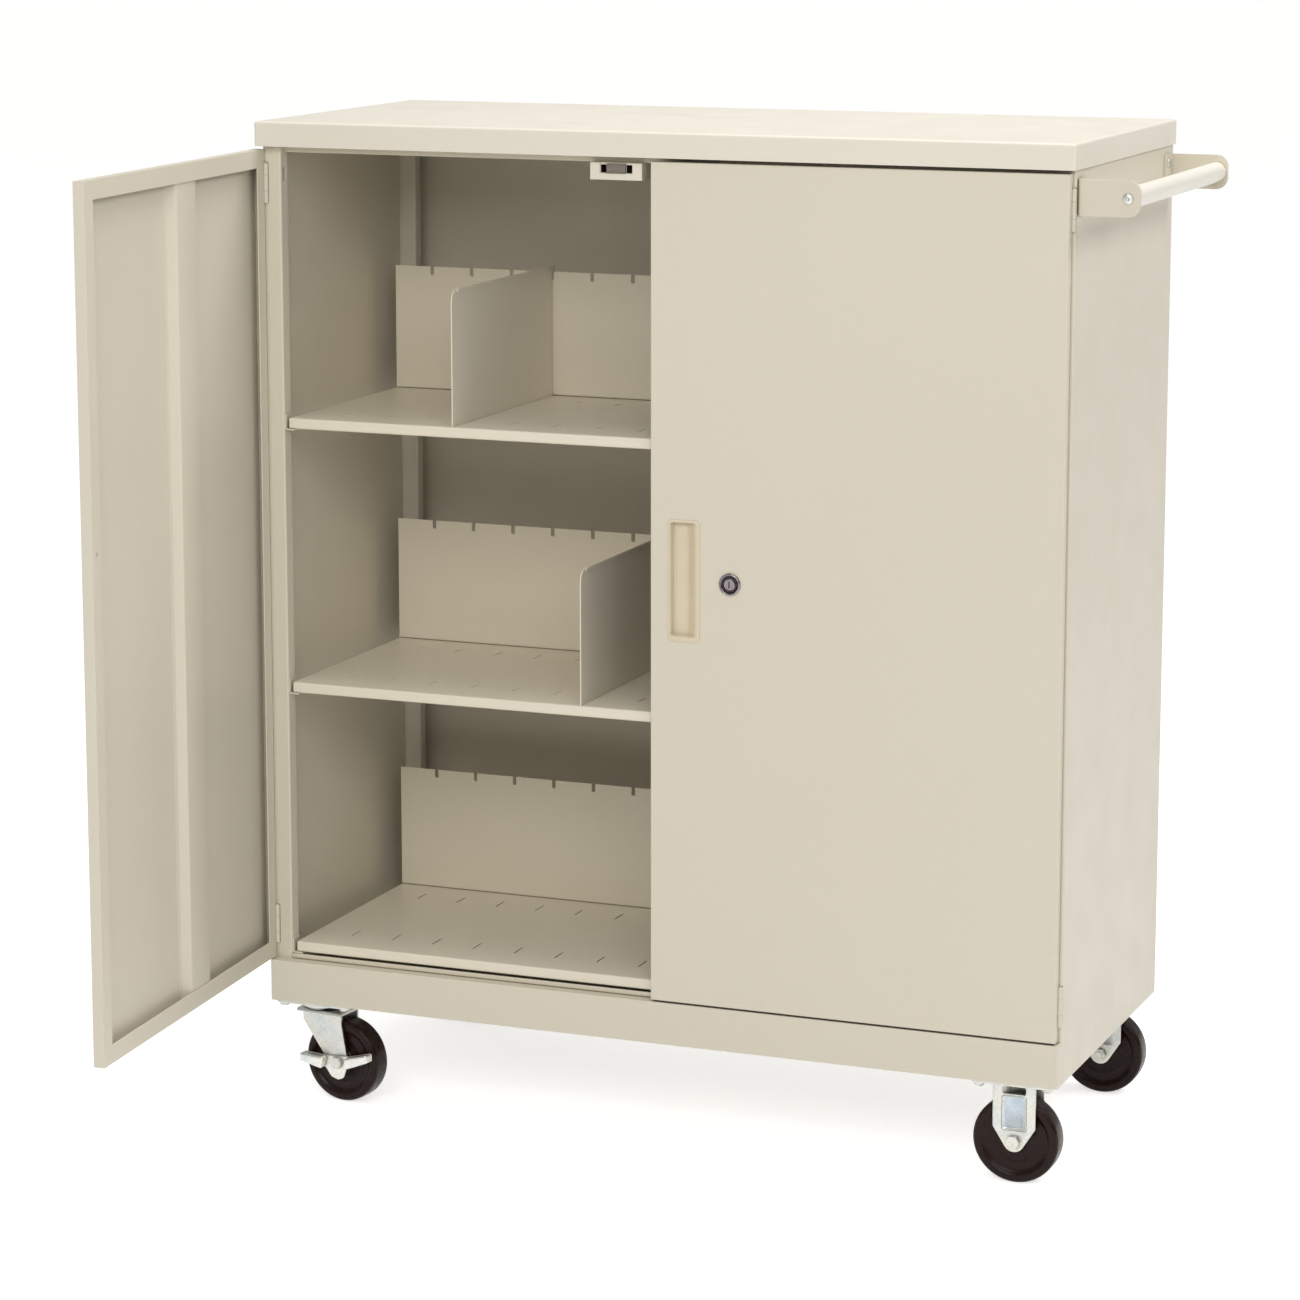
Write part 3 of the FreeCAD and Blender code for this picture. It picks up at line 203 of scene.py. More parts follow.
WHITE = (1.0, 1.0, 1.0, 1.0)
SPECK_GREY = (0.9, 0.9, 0.9, 1.0)
# Reach and depth of the painted shade in creases, reach and brown of the painted shade in deep gaps, and
# reach of the painted highlight along edges
CREASE_REACH = 0.004
CREASE_SHADE_DEPTH = 0.3
GAP_REACH = 0.016
GAP_SHADE_BROWN = tone(66, 52, 30)
EDGE_HIGHLIGHT_REACH = 0.0012
PASSIVATION = ((0.32, (0.93, 0.97, 1.0, 1.0)), (0.5, WHITE), (0.68, (1.0, 0.97, 0.90, 1.0)))


def paint(name, colour, deep, roughness=0.42):
    """Powder coat on steel: faint orange peel, slow tone changes, painted brown shade in creases and deep
    gaps, and a painted highlight along edges.
    """
    s = Shader(name)
    drift = s.span(s.noise(1.6, 3.0), 0.3, 0.7, 0.0, 1.0)
    base = s.mixed(s.maths("MULTIPLY", drift, 0.35), colour, deep)
    speck = s.span(s.noise(900.0, 1.0), 0.35, 0.65, 0.965, 1.0)
    base = s.mixed(1.0, base, s.ramp(speck, ((0.9, SPECK_GREY), (1.0, WHITE))), "MULTIPLY")
    # Painted shade: corners and creases darken towards a brown of the deeper tone
    crease_shade = s.span(s.creases(CREASE_REACH), 0.35, 0.95, CREASE_SHADE_DEPTH, 0.0)
    base = s.mixed(crease_shade, base, scaled(deep, 0.55, 0.5, 0.42))
    # Painted shade: deep gaps darken towards a dark brown
    gap_shade = s.span(s.creases(GAP_REACH), 0.03, 0.26, 0.85, 0.0)
    base = s.mixed(gap_shade, base, GAP_SHADE_BROWN)
    # Painted highlight: edges lighten towards a brighter copy of the colour
    edge_highlight = s.span(s.edges(EDGE_HIGHLIGHT_REACH), 0.02, 0.25, 0.0, 0.5)
    base = s.mixed(edge_highlight, base, scaled(colour, 1.12, 1.12, 1.12))
    peel = s.bump(s.noise(260.0, 1.0), 0.10, 0.0006)
    peel = s.bump(s.noise(950.0, 2.0), 0.10, 0.0002, peel)
    rough = s.span(s.noise(22.0, 4.0), 0.3, 0.7, roughness - 0.05, roughness + 0.06)
    s.set(Base_Color=base, Roughness=rough, Normal=peel, Metallic=0.0, IOR=1.48)
    return s.material


def plated(name, light, dark, roughness=0.30, grain=420.0):
    """Bright zinc: fine crystal mottle, a trace of blue and yellow passivation, painted shade in creases."""
    s = Shader(name)
    mottle = s.span(s.cells(grain), 0.0, 0.9, 0.0, 1.0)
    base = s.mixed(mottle, light, dark)
    film = s.ramp(s.noise(38.0, 3.0), PASSIVATION)
    base = s.mixed(1.0, base, film, "MULTIPLY")
    # Painted shade: creases darken
    crease_shade = s.span(s.creases(CREASE_REACH), 0.3, 0.95, 0.6, 0.0)
    base = s.mixed(crease_shade, base, scaled(dark, 0.45, 0.45, 0.45))
    rough = s.span(s.noise(90.0, 4.0), 0.3, 0.7, roughness - 0.08, roughness + 0.12)
    normal = s.bump(s.noise(700.0, 3.0), 0.18, 0.0003)
    s.set(Base_Color=base, Roughness=rough, Normal=normal, Metallic=1.0)
    return s.material


# Turned rings on the wheels, in radians a metre, and the radii over which dust gathers
RING_RATE = 5200.0
DUST_START = 0.0445
DUST_END = 0.0482


def rubber(name):
    """Moulded wheel: dark brown-black, fine grain, dust on the tread, faint turned rings."""
    s = Shader(name)
    reach = s.reach()
    rings = s.maths("SINE", s.maths("MULTIPLY", reach, RING_RATE))
    drift = s.span(s.noise(60.0, 4.0), 0.3, 0.7, 0.0, 1.0)
    base = s.mixed(drift, tone(28, 12, 9), tone(38, 21, 17))
    patches = s.span(s.noise(130.0, 5.0, 0.7), 0.45, 0.7, 0.0, 0.3)
    dust = s.maths("MULTIPLY", s.span(reach, DUST_START, DUST_END, 0.0, 1.0), patches)
    base = s.mixed(dust, base, tone(84, 74, 66))
    rough = s.span(s.noise(200.0, 3.0), 0.3, 0.7, 0.21, 0.34)
    rough = s.maths("ADD", rough, s.maths("MULTIPLY", dust, 0.5))
    normal = s.bump(rings, 0.10, 0.0002)
    normal = s.bump(s.noise(620.0, 3.0), 0.22, 0.0003, normal)
    s.set(Base_Color=base, Roughness=rough, Normal=normal, Metallic=0.0, Specular_IOR_Level=0.17)
    return s.material


def plastic(name, colour, deep, roughness=0.38):
    """Moulded plastic: even colour, a fine spark texture and painted shade in corners."""
    s = Shader(name)
    base = s.mixed(s.span(s.noise(30.0, 3.0), 0.3, 0.7, 0.0, 0.6), colour, deep)
    # Painted shade: corners darken
    crease_shade = s.span(s.creases(0.006), 0.3, 0.95, 0.5, 0.0)
    base = s.mixed(crease_shade, base, scaled(deep, 0.6, 0.6, 0.6))
    rough = s.span(s.noise(400.0, 2.0), 0.3, 0.7, roughness - 0.05, roughness + 0.08)
    normal = s.bump(s.noise(1500.0, 2.0), 0.18, 0.0002)
    s.set(Base_Color=base, Roughness=rough, Normal=normal, Metallic=0.0)
    return s.material


# Radii between which the lock's bezel goes from the painted shade of its groove to its bright bead
GROOVE_RADIUS = 0.0092
BEAD_RADIUS = 0.0116


def chrome_ring(name):
    """Lock bezel: bright chrome on its bead, painted shade in the groove round the plug, painted dark
    reflections in spots.
    """
    s = Shader(name)
    # Painted shade: the bezel darkens from its bead into the groove
    bright = s.span(s.reach(), GROOVE_RADIUS, BEAD_RADIUS, 0.0, 1.0)
    base = s.mixed(bright, tone(66, 57, 61), tone(158, 153, 157))
    # Painted reflection: dark patches stand for the dark surroundings seen in the chrome
    dark_reflection_spots = s.span(s.noise(420.0, 3.0), 0.45, 0.68, 0.0, 0.55)
    base = s.mixed(dark_reflection_spots, base, tone(84, 76, 80))
    rough = s.span(s.noise(260.0, 3.0), 0.3, 0.7, 0.10, 0.24)
    normal = s.bump(s.noise(900.0, 2.0), 0.12, 0.0002)
    s.set(Base_Color=base, Roughness=rough, Normal=normal, Metallic=1.0)
    return s.material


def ferrite(name):
    """Magnet: grey, matt and grainy."""
    s = Shader(name)
    grains = s.span(s.cells(900.0), 0.0, 0.8, 0.0, 1.0)
    base = s.mixed(grains, tone(140, 134, 124), tone(112, 107, 98))
    normal = s.bump(s.noise(1200.0, 4.0), 0.3, 0.0003)
    rough = s.span(s.noise(300.0, 3.0), 0.3, 0.7, 0.4, 0.62)
    s.set(Base_Color=base, Roughness=rough, Normal=normal, Metallic=0.35)
    return s.material


# Finishes by name: the record's slots, and some that differ from their node's slot

materials = {
    "cabinet_paint": paint("cabinet_paint", tone(219, 212, 195), tone(212, 204, 185)),
    "door_paint": paint("door_paint", tone(220, 213, 196), tone(213, 205, 187)),
    # Lighter copy of the cabinet paint: painted light on the top board
    "board_paint": paint("board_paint", tone(230, 224, 210), tone(225, 218, 203)),
    # Lighter copy of the cabinet paint: painted light on the shelves and their lips
    "shelf_paint": paint("shelf_paint", tone(232, 225, 208), tone(225, 217, 199)),
    # Lighter copy of the cabinet paint: painted light on the handle tube
    "handle_paint": paint("handle_paint", tone(238, 234, 222), tone(232, 227, 214), 0.34),
    "zinc": plated("zinc", tone(219, 218, 212), tone(196, 198, 194), 0.42),
    # Lighter copy of the zinc: painted light on the brake pedals
    "zinc_pedal_lit": plated("zinc_pedal_lit", tone(236, 235, 230), tone(214, 215, 211), 0.42),
    "stop_paint": paint("stop_paint", tone(220, 212, 193), tone(212, 204, 184)),
    # Darker, bluer copy of the zinc: painted shade on the floors of the fork panels
    "zinc_panel_shade": plated("zinc_panel_shade", tone(190, 198, 204), tone(172, 181, 188), 0.38),
    # Painted shade: dark brown put on the walls and floors of the catch pockets
    "pocket": plastic("pocket", tone(44, 34, 22), tone(30, 22, 14), 0.6),
    "bracket_paint": paint("bracket_paint", tone(215, 208, 190), tone(208, 200, 181)),
    "wheel_rubber": rubber("wheel_rubber"),
    "catch_plastic": plastic("catch_plastic", tone(229, 224, 211), tone(219, 213, 197)),
    "magnet": ferrite("magnet"),
    "pull_plastic": plastic("pull_plastic", tone(220, 208, 183), tone(214, 201, 175)),
    "lock_metal": plated("lock_metal", tone(166, 157, 161), tone(130, 121, 126), 0.3, 900.0),
    "lock_bezel": chrome_ring("lock_bezel"),
}

# Brackets and back stops keep the plain tone, beside the lighter handle and shelf copies that paint light
finishes = {
    "front_handle_bracket": "bracket_paint",
    "rear_handle_bracket": "bracket_paint",
    "upper_back_stop": "stop_paint",
    "middle_back_stop": "stop_paint",
    "bottom_back_stop": "stop_paint",
}

for name, node in nodes.items():
    node.data.materials.clear()
    node.data.materials.append(materials[finishes.get(name, slots[name])])


# Mesh building

SMOOTH_ANGLE = math.radians(32)
BEVEL_ANGLE = math.radians(40)
SAME_POINT = 0.00001
SQUARE = ((0, 0), (1, 0), (1, 1), (0, 1))


def finished(name, mesh):
    """Object of a mesh under construction, smooth except over its sharp edges."""
    bmesh.ops.recalc_face_normals(mesh, faces=mesh.faces)
    data = bpy.data.meshes.new(name)
    mesh.to_mesh(data)
    mesh.free()
    data.shade_smooth()
    data.set_sharp_from_angle(angle=SMOOTH_ANGLE)
    piece = bpy.data.objects.new(name, data)
    bpy.context.scene.collection.objects.link(piece)
    return piece


def stand_in(piece, node, material=None):
    """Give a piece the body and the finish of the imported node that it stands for."""
    piece.data.materials.append(materials[material or slots[node]])
    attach(piece, nodes[node]["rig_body"])
    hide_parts(node)


def softened(piece, width, segments=2):
    """Rounded edges: welded corners, then a bevel whose flats stay flat."""
    weld = piece.modifiers.new("weld", "WELD")
    weld.merge_threshold = SAME_POINT
    bevel = piece.modifiers.new("soft_edges", "BEVEL")
    bevel.width = width
    bevel.segments = segments
    bevel.limit_method = "ANGLE"
    bevel.angle_limit = BEVEL_ANGLE
    bevel.harden_normals = True
    return piece


def turned(mesh, profile, place=Matrix(), steps=96):
    """Add a solid turned about Y to a mesh, from (y, radius) or (y, radius, sides) points."""
    rings = []
    for y, radius, *sides in profile:
        verts = []
        for step in range(steps):
            angle = 2 * math.pi * step / steps
            reach = radius
            if sides:
                part = math.pi / sides[0]
                reach = radius / math.cos(angle % (2 * part) - part)
            spot = Vector((reach * math.cos(angle), y, reach * math.sin(angle)))
            verts.append(mesh.verts.new(place @ spot))
        rings.append(verts)
    for first, second in zip(rings, rings[1:] + rings[:1]):
        bridged(mesh, first, second)


def bridged(mesh, first, second):
    """Add the band of faces between two closed rings of as many points."""
    for step in range(len(first)):
        after = (step + 1) % len(first)
        mesh.faces.new((first[step], first[after], second[after], second[step]))


def arc(centre_y, centre_r, radius, start, end, count):
    """Points of an arc of a profile, with its start and end in degrees."""
    points = []
    for step in range(count + 1):
        angle = math.radians(start + (end - start) * step / count)
        points.append((centre_y + radius * math.cos(angle), centre_r + radius * math.sin(angle)))
    return points


def carved(mesh, xs, ys, zs, solid):
    """Add a block to a mesh: planes cut it into cells, and solid(i, j, k) says which are there."""
    corners = {}

    def corner(i, j, k):
        if (i, j, k) not in corners:
            corners[i, j, k] = mesh.verts.new((xs[i], ys[j], zs[k]))
        return corners[i, j, k]

    def filled(i, j, k):
        inside = 0 <= i < len(xs) - 1 and 0 <= j < len(ys) - 1 and 0 <= k < len(zs) - 1
        return inside and solid(i, j, k)

    for i in range(len(xs) - 1):
        for j in range(len(ys) - 1):
            for k in range(len(zs) - 1):
                if not filled(i, j, k):
                    continue
                for a in (0, 1):
                    side = 2 * a - 1
                    if not filled(i + side, j, k):
                        mesh.faces.new([corner(i + a, j + b, k + c) for b, c in SQUARE])
                    if not filled(i, j + side, k):
                        mesh.faces.new([corner(i + b, j + a, k + c) for b, c in SQUARE])
                    if not filled(i, j, k + side):
                        mesh.faces.new([corner(i + b, j + c, k + a) for b, c in SQUARE])
    bmesh.ops.dissolve_limit(mesh, angle_limit=0.01, verts=mesh.verts, edges=mesh.edges)


def rounded(points, radii, steps=6):
    """Outline through the points, with its corners rounded to the radii."""
    outline = []
    for index, radius in enumerate(radii):
        corner = Vector(points[index])
        if radius == 0:
            outline.append(corner)
            continue
        back = (Vector(points[index - 1]) - corner).normalized()
        ahead = (Vector(points[(index + 1) % len(points)]) - corner).normalized()
        half = back.angle(ahead) / 2
        centre = corner + (back + ahead).normalized() * radius / math.sin(half)
        start = corner + back * radius / math.tan(half) - centre
        end = corner + ahead * radius / math.tan(half) - centre
        turn = start.angle(end)
        for step in range(steps + 1):
            share = step / steps
            spoke = start * math.sin((1 - share) * turn) + end * math.sin(share * turn)
            outline.append(centre + spoke / math.sin(turn))
    return outline


def sheet_metal(mesh, outlines, thickness, edge, place):
    """Add a plate to a mesh: the first outline is its edge, the others are holes in it."""
    curve = bpy.data.curves.new("plate", "CURVE")
    curve.dimensions = "2D"
    curve.fill_mode = "BOTH"
    curve.extrude = thickness / 2 - edge
    curve.bevel_depth = edge
    curve.bevel_resolution = 2
    curve.offset = -edge
    for outline in outlines:
        spline = curve.splines.new("POLY")
        spline.points.add(len(outline) - 1)
        for point, (x, y) in zip(spline.points, outline):
            point.co = (x, y, 0, 1)
        spline.use_cyclic_u = True
    shape = bpy.data.objects.new("plate", curve)
    data = bpy.data.meshes.new_from_object(shape)
    data.transform(place)
    mesh.from_mesh(data)
    bpy.data.objects.remove(shape)
    bpy.data.curves.remove(curve)
    bpy.data.meshes.remove(data)
    bmesh.ops.remove_doubles(mesh, verts=mesh.verts, dist=SAME_POINT / 2)


def rectangle(x0, x1, z0, z1):
    return [(x0, z0), (x1, z0), (x1, z1), (x0, z1)]


def upright(place, across):
    """Frame of a piece drawn upright: its x runs across, its y up, and its z to the front."""
    along = across.normalized()
    right = Vector((along.y, -along.x, 0))
    turn = Matrix((right, Vector((0, 0, 1)), -along)).transposed().to_4x4()
    return Matrix.Translation(place) @ turn


def islands(node):
    """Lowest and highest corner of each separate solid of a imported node."""
    mesh = bmesh.new()
    mesh.from_mesh(node.data)
    bmesh.ops.remove_doubles(mesh, verts=mesh.verts, dist=SAME_POINT)
    left = set(mesh.verts)
    found = []
    while left:
        heap = [left.pop()]
        group = []
        while heap:
            vert = heap.pop()
            group.append(vert.co.copy())
            for edge in vert.link_edges:
                other = edge.other_vert(vert)
                if other in left:
                    left.remove(other)
                    heap.append(other)
        low = Vector([min(p[axis] for p in group) for axis in range(3)])
        high = Vector([max(p[axis] for p in group) for axis in range(3)])
        found.append((low, high))
    mesh.free()
    return sorted(found, key=lambda pair: tuple(pair[0]))


def joint_axis(name):
    for joint in frame["joints"]:
        if joint["name"] == name:
            return Vector(joint["axis"])


def wheel_centre(caster):
    low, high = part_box(caster + "_wheel")
    return (low + high) / 2


def eased(share):
    """Smooth step from 0 to 1."""
    share = min(1.0, max(0.0, share))
    return share * share * (3 - 2 * share)


# Wheels

HUB_REACH = 0.0152
WHEEL_HALF = 0.0135
WEB_HALF = 0.0100
BORE = 0.00408
SHOULDER_Y = 0.0088
SHOULDER_DROP = 0.0047
SHOULDER_RADIUS = 0.0045
SHOULDER_TURN = 82
WHEEL_STEPS = 128

# From the bore over the hub's face and its slope to the web, and over a low ring, as (y, radius)
HUB_PROFILE = (
    (HUB_REACH, BORE), (HUB_REACH, 0.0085), (0.0150, 0.0092), (0.0150, 0.0112),
    (0.0148, 0.0120), (0.0118, 0.0128), (0.01045, 0.0141), (WEB_HALF, 0.0158),
    (WEB_HALF, 0.0242), (0.0103, 0.0250), (0.0103, 0.0266), (WEB_HALF, 0.0274),
)
# From the web up the hollow of the rim to the wheel's side, as (y, depth under the tread)
RIM_PROFILE = (
    (WEB_HALF, 0.0148), (0.0103, 0.0132), (0.0111, 0.0118), (0.0122, 0.0104),
    (0.01335, 0.0090), (WHEEL_HALF, 0.0082), (WHEEL_HALF, 0.0058), (0.0133, 0.0052),
)
# Crown of the tread from its shoulder to the middle, as (y, depth under the tread)
TREAD_PROFILE = ((0.0060, 0.0001), (0.0030, 0.00002), (0.0006, 0.0))


def wheel_profile(radius):
    """Half a wheel from the bore out to the middle of the tread, as (y, radius) points."""
    half = list(HUB_PROFILE)
    half += [(y, radius - drop) for y, drop in RIM_PROFILE]
    half += arc(SHOULDER_Y, radius - SHOULDER_DROP, SHOULDER_RADIUS, 0, SHOULDER_TURN, 8)
    half += [(y, radius - drop) for y, drop in TREAD_PROFILE]
    return half


def make_wheel(name):
    low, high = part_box(name)
    half = wheel_profile((high.z - low.z) / 2)
    mesh = bmesh.new()
    turned(mesh, half + [(-y, radius) for y, radius in half[::-1]], steps=WHEEL_STEPS)
    wheel = finished(name + "_detail", mesh)
    across = joint_axis(name + "_spin").to_track_quat("Y", "Z").to_matrix().to_4x4()
    wheel.matrix_world = Matrix.Translation((low + high) / 2) @ across
    stand_in(wheel, name)


for caster in ("front_left", "rear_left", "front_right", "rear_right"):
    make_wheel(caster + "_wheel")


# Fixed forks: pressed legs with a sunk panel and a window, under one crown

FORK_LEG = 0.048
FORK_SHEET = 0.0025
FORK_EDGE = 0.0008
FORK_TIP = 0.0120
FORK_STRAIGHT = 0.0490
FORK_CORNER = 0.004
PANEL_HALF = 0.0138
PANEL_TOP = 0.0135
PANEL_BOTTOM = 0.0525
PANEL_SLOPE = 0.0018
PANEL_SINK = 0.0015
PANEL_CORNER = 0.003
WINDOW_TOP = 0.0038
WINDOW_BOTTOM = 0.0118
WINDOW_HALF = 0.0130
WINDOW_CORNER = 0.002

# Section of the panel from its back over its rim and down to its floor, as (inset, height)
PANEL_SECTION = (
    (0.0, 0.0),
    (0.0, FORK_SHEET - FORK_EDGE),
    (FORK_EDGE / 2, FORK_SHEET - FORK_EDGE / 3),
    (FORK_EDGE, FORK_SHEET),
    (FORK_EDGE + PANEL_SLOPE / 3, FORK_SHEET - PANEL_SINK / 4),
    (FORK_EDGE + PANEL_SLOPE * 2 / 3, FORK_SHEET - PANEL_SINK * 3 / 4),
    (FORK_EDGE + PANEL_SLOPE, FORK_SHEET - PANEL_SINK),
)


def bore_outline():
    """Circle of an axle's hole, in 24 steps."""
    angles = [math.radians(15 * step) for step in range(24)]
    return [(BORE * math.cos(angle), BORE * math.sin(angle)) for angle in angles]


def tangent_angle(half, taper):
    """Angle to the level of the line from a shoulder that touches the tip's circle from below."""
    reach = math.hypot(half, taper)
    return math.atan2(taper, half) + math.asin(FORK_TIP / reach)


def pressed_panel(mesh, half, top, bottom, place):
    """Dished plate that fills the panel's hole: a rim, a slope and a flat floor, with a back."""
    rings = []
    for inset, height in PANEL_SECTION:
        frame_of_ring = rectangle(inset - half, half - inset, bottom + inset, top - inset)
        outline = rounded(frame_of_ring, [PANEL_CORNER] * 4)
        level = height - FORK_SHEET / 2
        rings.append([mesh.verts.new(place @ Vector((x, y, level))) for x, y in outline])
    for first, second in zip(rings, rings[1:]):
        bridged(mesh, first, second)
    mesh.faces.new(rings[0][::-1])
    floor_face = mesh.faces.new(rings[-1])
    # The floor takes the second material, the darker zinc copy painted as shade
    floor_face.material_index = 1


def fixed_fork(caster):
    name = caster + "_fork"
    low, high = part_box(name)
    centre = wheel_centre(caster)
    drop = high.z - centre.z
    half = FORK_LEG / 2
    taper = drop - FORK_STRAIGHT
    apex = -FORK_TIP / math.cos(tangent_angle(half, taper))
    outline = rounded([(-half, drop), (-half, taper), (0, apex), (half, taper), (half, drop)],
                      [0, FORK_CORNER, FORK_TIP, FORK_CORNER, 0])
    window = rounded(rectangle(-WINDOW_HALF, WINDOW_HALF, drop - WINDOW_BOTTOM, drop - WINDOW_TOP),
                     [WINDOW_CORNER] * 4)
    panel = rounded(rectangle(-PANEL_HALF, PANEL_HALF, drop - PANEL_BOTTOM, drop - PANEL_TOP),
                    [PANEL_CORNER] * 4)
    mesh = bmesh.new()
    for side in (-1, 1):
        face = low.y if side < 0 else high.y
        middle = Vector((centre.x, face - side * FORK_SHEET / 2, centre.z))
        place = upright(middle, Vector((0, -side, 0)))
        sheet_metal(mesh, [outline, window, panel, bore_outline()], FORK_SHEET, FORK_EDGE, place)
        pressed_panel(mesh, PANEL_HALF, drop - PANEL_TOP, drop - PANEL_BOTTOM, place)
    crown_z = high.z - FORK_SHEET / 2
    place = Matrix.Translation(Vector((centre.x, (low.y + high.y) / 2, crown_z)))
    deep = (high.y - low.y) / 2 - FORK_SHEET / 2
    sheet_metal(mesh, [rectangle(-half, half, -deep, deep)], FORK_SHEET, FORK_EDGE, place)
    fork = finished(name + "_detail", mesh)
    stand_in(fork, name)
    # Second material: the darker zinc copy painted as shade on the panel floors
    fork.data.materials.append(materials["zinc_panel_shade"])


for caster in ("front_right", "rear_right"):
    fixed_fork(caster)


# Brake pedals: a pressed web with two thick toes

PEDAL_REACH = 0.046
PEDAL_TIP = 0.021
PEDAL_SHEET = 0.002
PEDAL_EDGE = 0.0006
PEDAL_BACK = 0.0183
TOE_DEPTH = 0.0105
TOE_CORNER = 0.0022
TOE_EDGE = 0.0021
TOE_OVERLAP = 0.0004

# Corners of the web from the left toe along its lower edge and back along the upper one:
# across in shares of the reach, up in shares of the tip, and the radius of each corner
WEB_ACROSS = (-1.0, -0.36, -0.2, 0.0, 0.17, 0.26, 1.0, 1.0, 0.34, -0.3, -1.0)
WEB_UP = (-0.1, -0.38, -0.85, -1.0, -0.85, -0.3, 0.36, 0.82, 0.42, 0.3, 0.34)
WEB_RADII = (0.002, 0.004, 0.006, 0.008, 0.006, 0.004, 0.002, 0.002, 0.003, 0.003, 0.002)
# Numbers of the corners that bound the toes
LEFT_TOE = (0, 1, 9, 10)
RIGHT_TOE = (5, 6, 7, 8)


def brake_pedal(caster):
    name = caster + "_brake_pedal"
    along = joint_axis(caster + "_brake_press")
    centre = wheel_centre(caster)
    points = [(a * PEDAL_REACH, b * PEDAL_TIP) for a, b in zip(WEB_ACROSS, WEB_UP)]
    mesh = bmesh.new()
    web = upright(centre - along * (PEDAL_BACK + PEDAL_SHEET / 2), along)
    sheet_metal(mesh, [rounded(points, WEB_RADII), bore_outline()], PEDAL_SHEET, PEDAL_EDGE, web)
    bars = upright(centre - along * (PEDAL_BACK + PEDAL_SHEET + TOE_DEPTH / 2 - TOE_OVERLAP), along)
    for toe in (LEFT_TOE, RIGHT_TOE):
        outline = rounded([points[index] for index in toe], [TOE_CORNER] * 4)
        sheet_metal(mesh, [outline], TOE_DEPTH, TOE_EDGE, bars)
    # The pedal takes the lighter zinc copy that paints its light
    stand_in(finished(name + "_detail", mesh), name, "zinc_pedal_lit")


for caster in ("front_left", "rear_left"):
    brake_pedal(caster)


# Pull: a frame round a scoop that rises in a long curve to its right edge

PULL_FRAME = {"left": 0.0030, "right": 0.0024, "top": 0.0030, "bottom": 0.0058}
PULL_LIP = 0.0015
PULL_EDGE = 0.0007
PULL_PROUD = 0.0010
PULL_SINK = 0.0088
PULL_WALL = 0.0009
PULL_WALL_START = 0.0002
PULL_BACK_CORNER = 0.0022
PULL_LIP_CORNER = 0.0025
PULL_OUTER_CORNER = 0.0040
PULL_TURN_CORNER = 0.0038
PULL_FRONT_CORNER = 0.0034
SCOOP_CORNER = 0.0030
SCOOP_CORNER_LEAST = 0.0003
SCOOP_START = 0.0185
SCOOP_END = 0.0340
SCOOP_STEP = 0.0010
# Insets of the scoop's first rings, close together over its wall, then SCOOP_STEP apart
SCOOP_INSETS = (-0.0005, -0.0002, 0.0, 0.0002, 0.0004, 0.0006, 0.0008, 0.0010, 0.0014, 0.0020)


def ring(x0, x1, z0, z1, radius, across=10, along=30, steps=5):
    """Points round a rectangle with round corners, in the same order and number at any size."""
    points = []
    sides = (((x0 + radius, z0), (x1 - radius, z0), (x1 - radius, z0 + radius), -90, across),
             ((x1, z0 + radius), (x1, z1 - radius), (x1 - radius, z1 - radius), 0, along),
             ((x1 - radius, z1), (x0 + radius, z1), (x0 + radius, z1 - radius), 90, across),
             ((x0, z1 - radius), (x0, z0 + radius), (x0 + radius, z0 + radius), 180, along))
    for start, end, centre, angle, count in sides:
        for step in range(count):
            points.append(Vector(start).lerp(Vector(end), step / count))
        for step in range(steps):
            turn = math.radians(angle + 90 * step / steps)
            points.append(Vector(centre) + radius * Vector((math.cos(turn), math.sin(turn))))
    return points


def pull_scoop():
    low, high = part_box("pull_cup")
    face = low.y + PULL_PROUD
    mesh = bmesh.new()
    rings = []

    def add(inset, radius, depth):
        outline = ring(low.x + inset, high.x - inset, low.z + inset, high.z - inset, radius)
        rings.append([mesh.verts.new((x, depth, z)) for x, z in outline])

    add(PULL_LIP + PULL_EDGE, PULL_BACK_CORNER, high.y)
    add(PULL_LIP, PULL_LIP_CORNER, high.y - PULL_EDGE)
    add(PULL_LIP, PULL_LIP_CORNER, face)
    add(0.0, PULL_OUTER_CORNER, face)
    add(0.0, PULL_OUTER_CORNER, low.y + PULL_EDGE)
    add(PULL_EDGE * 0.3, PULL_TURN_CORNER, low.y + PULL_EDGE * 0.3)
    add(PULL_EDGE, PULL_FRONT_CORNER, low.y)
    x0 = low.x + PULL_FRAME["left"]
    x1 = high.x - PULL_FRAME["right"]
    z0 = low.z + PULL_FRAME["bottom"]
    z1 = high.z - PULL_FRAME["top"]
    reach = (x1 - x0) / 2
    insets = list(SCOOP_INSETS)
    insets += [SCOOP_STEP * step for step in range(3, math.floor(reach / SCOOP_STEP))]
    for inset in insets:
        wall = eased((inset + PULL_WALL_START) / (PULL_WALL + PULL_WALL_START))
        corner = max(SCOOP_CORNER_LEAST, SCOOP_CORNER - inset)
        points = ring(x0 + inset, x1 - inset, z0 + inset, z1 - inset, corner)
        verts = []
        for x, z in points:
            rise = eased((x - low.x - SCOOP_START) / (SCOOP_END - SCOOP_START))
            verts.append(mesh.verts.new((x, low.y + PULL_SINK * wall * (1 - rise), z)))
        rings.append(verts)
    for first, second in zip(rings, rings[1:]):
        bridged(mesh, first, second)
    mesh.faces.new(rings[0][::-1])
    mesh.faces.new(rings[-1])
    stand_in(finished("pull_scoop", mesh), "pull_cup")


pull_scoop()


# Lock: a rounded bezel that falls to a groove round the plug

LOCK_BARREL = 0.0095
LOCK_BORE = 0.00656
LOCK_BEAD = 0.0015
LOCK_CHAMFER = 0.0004
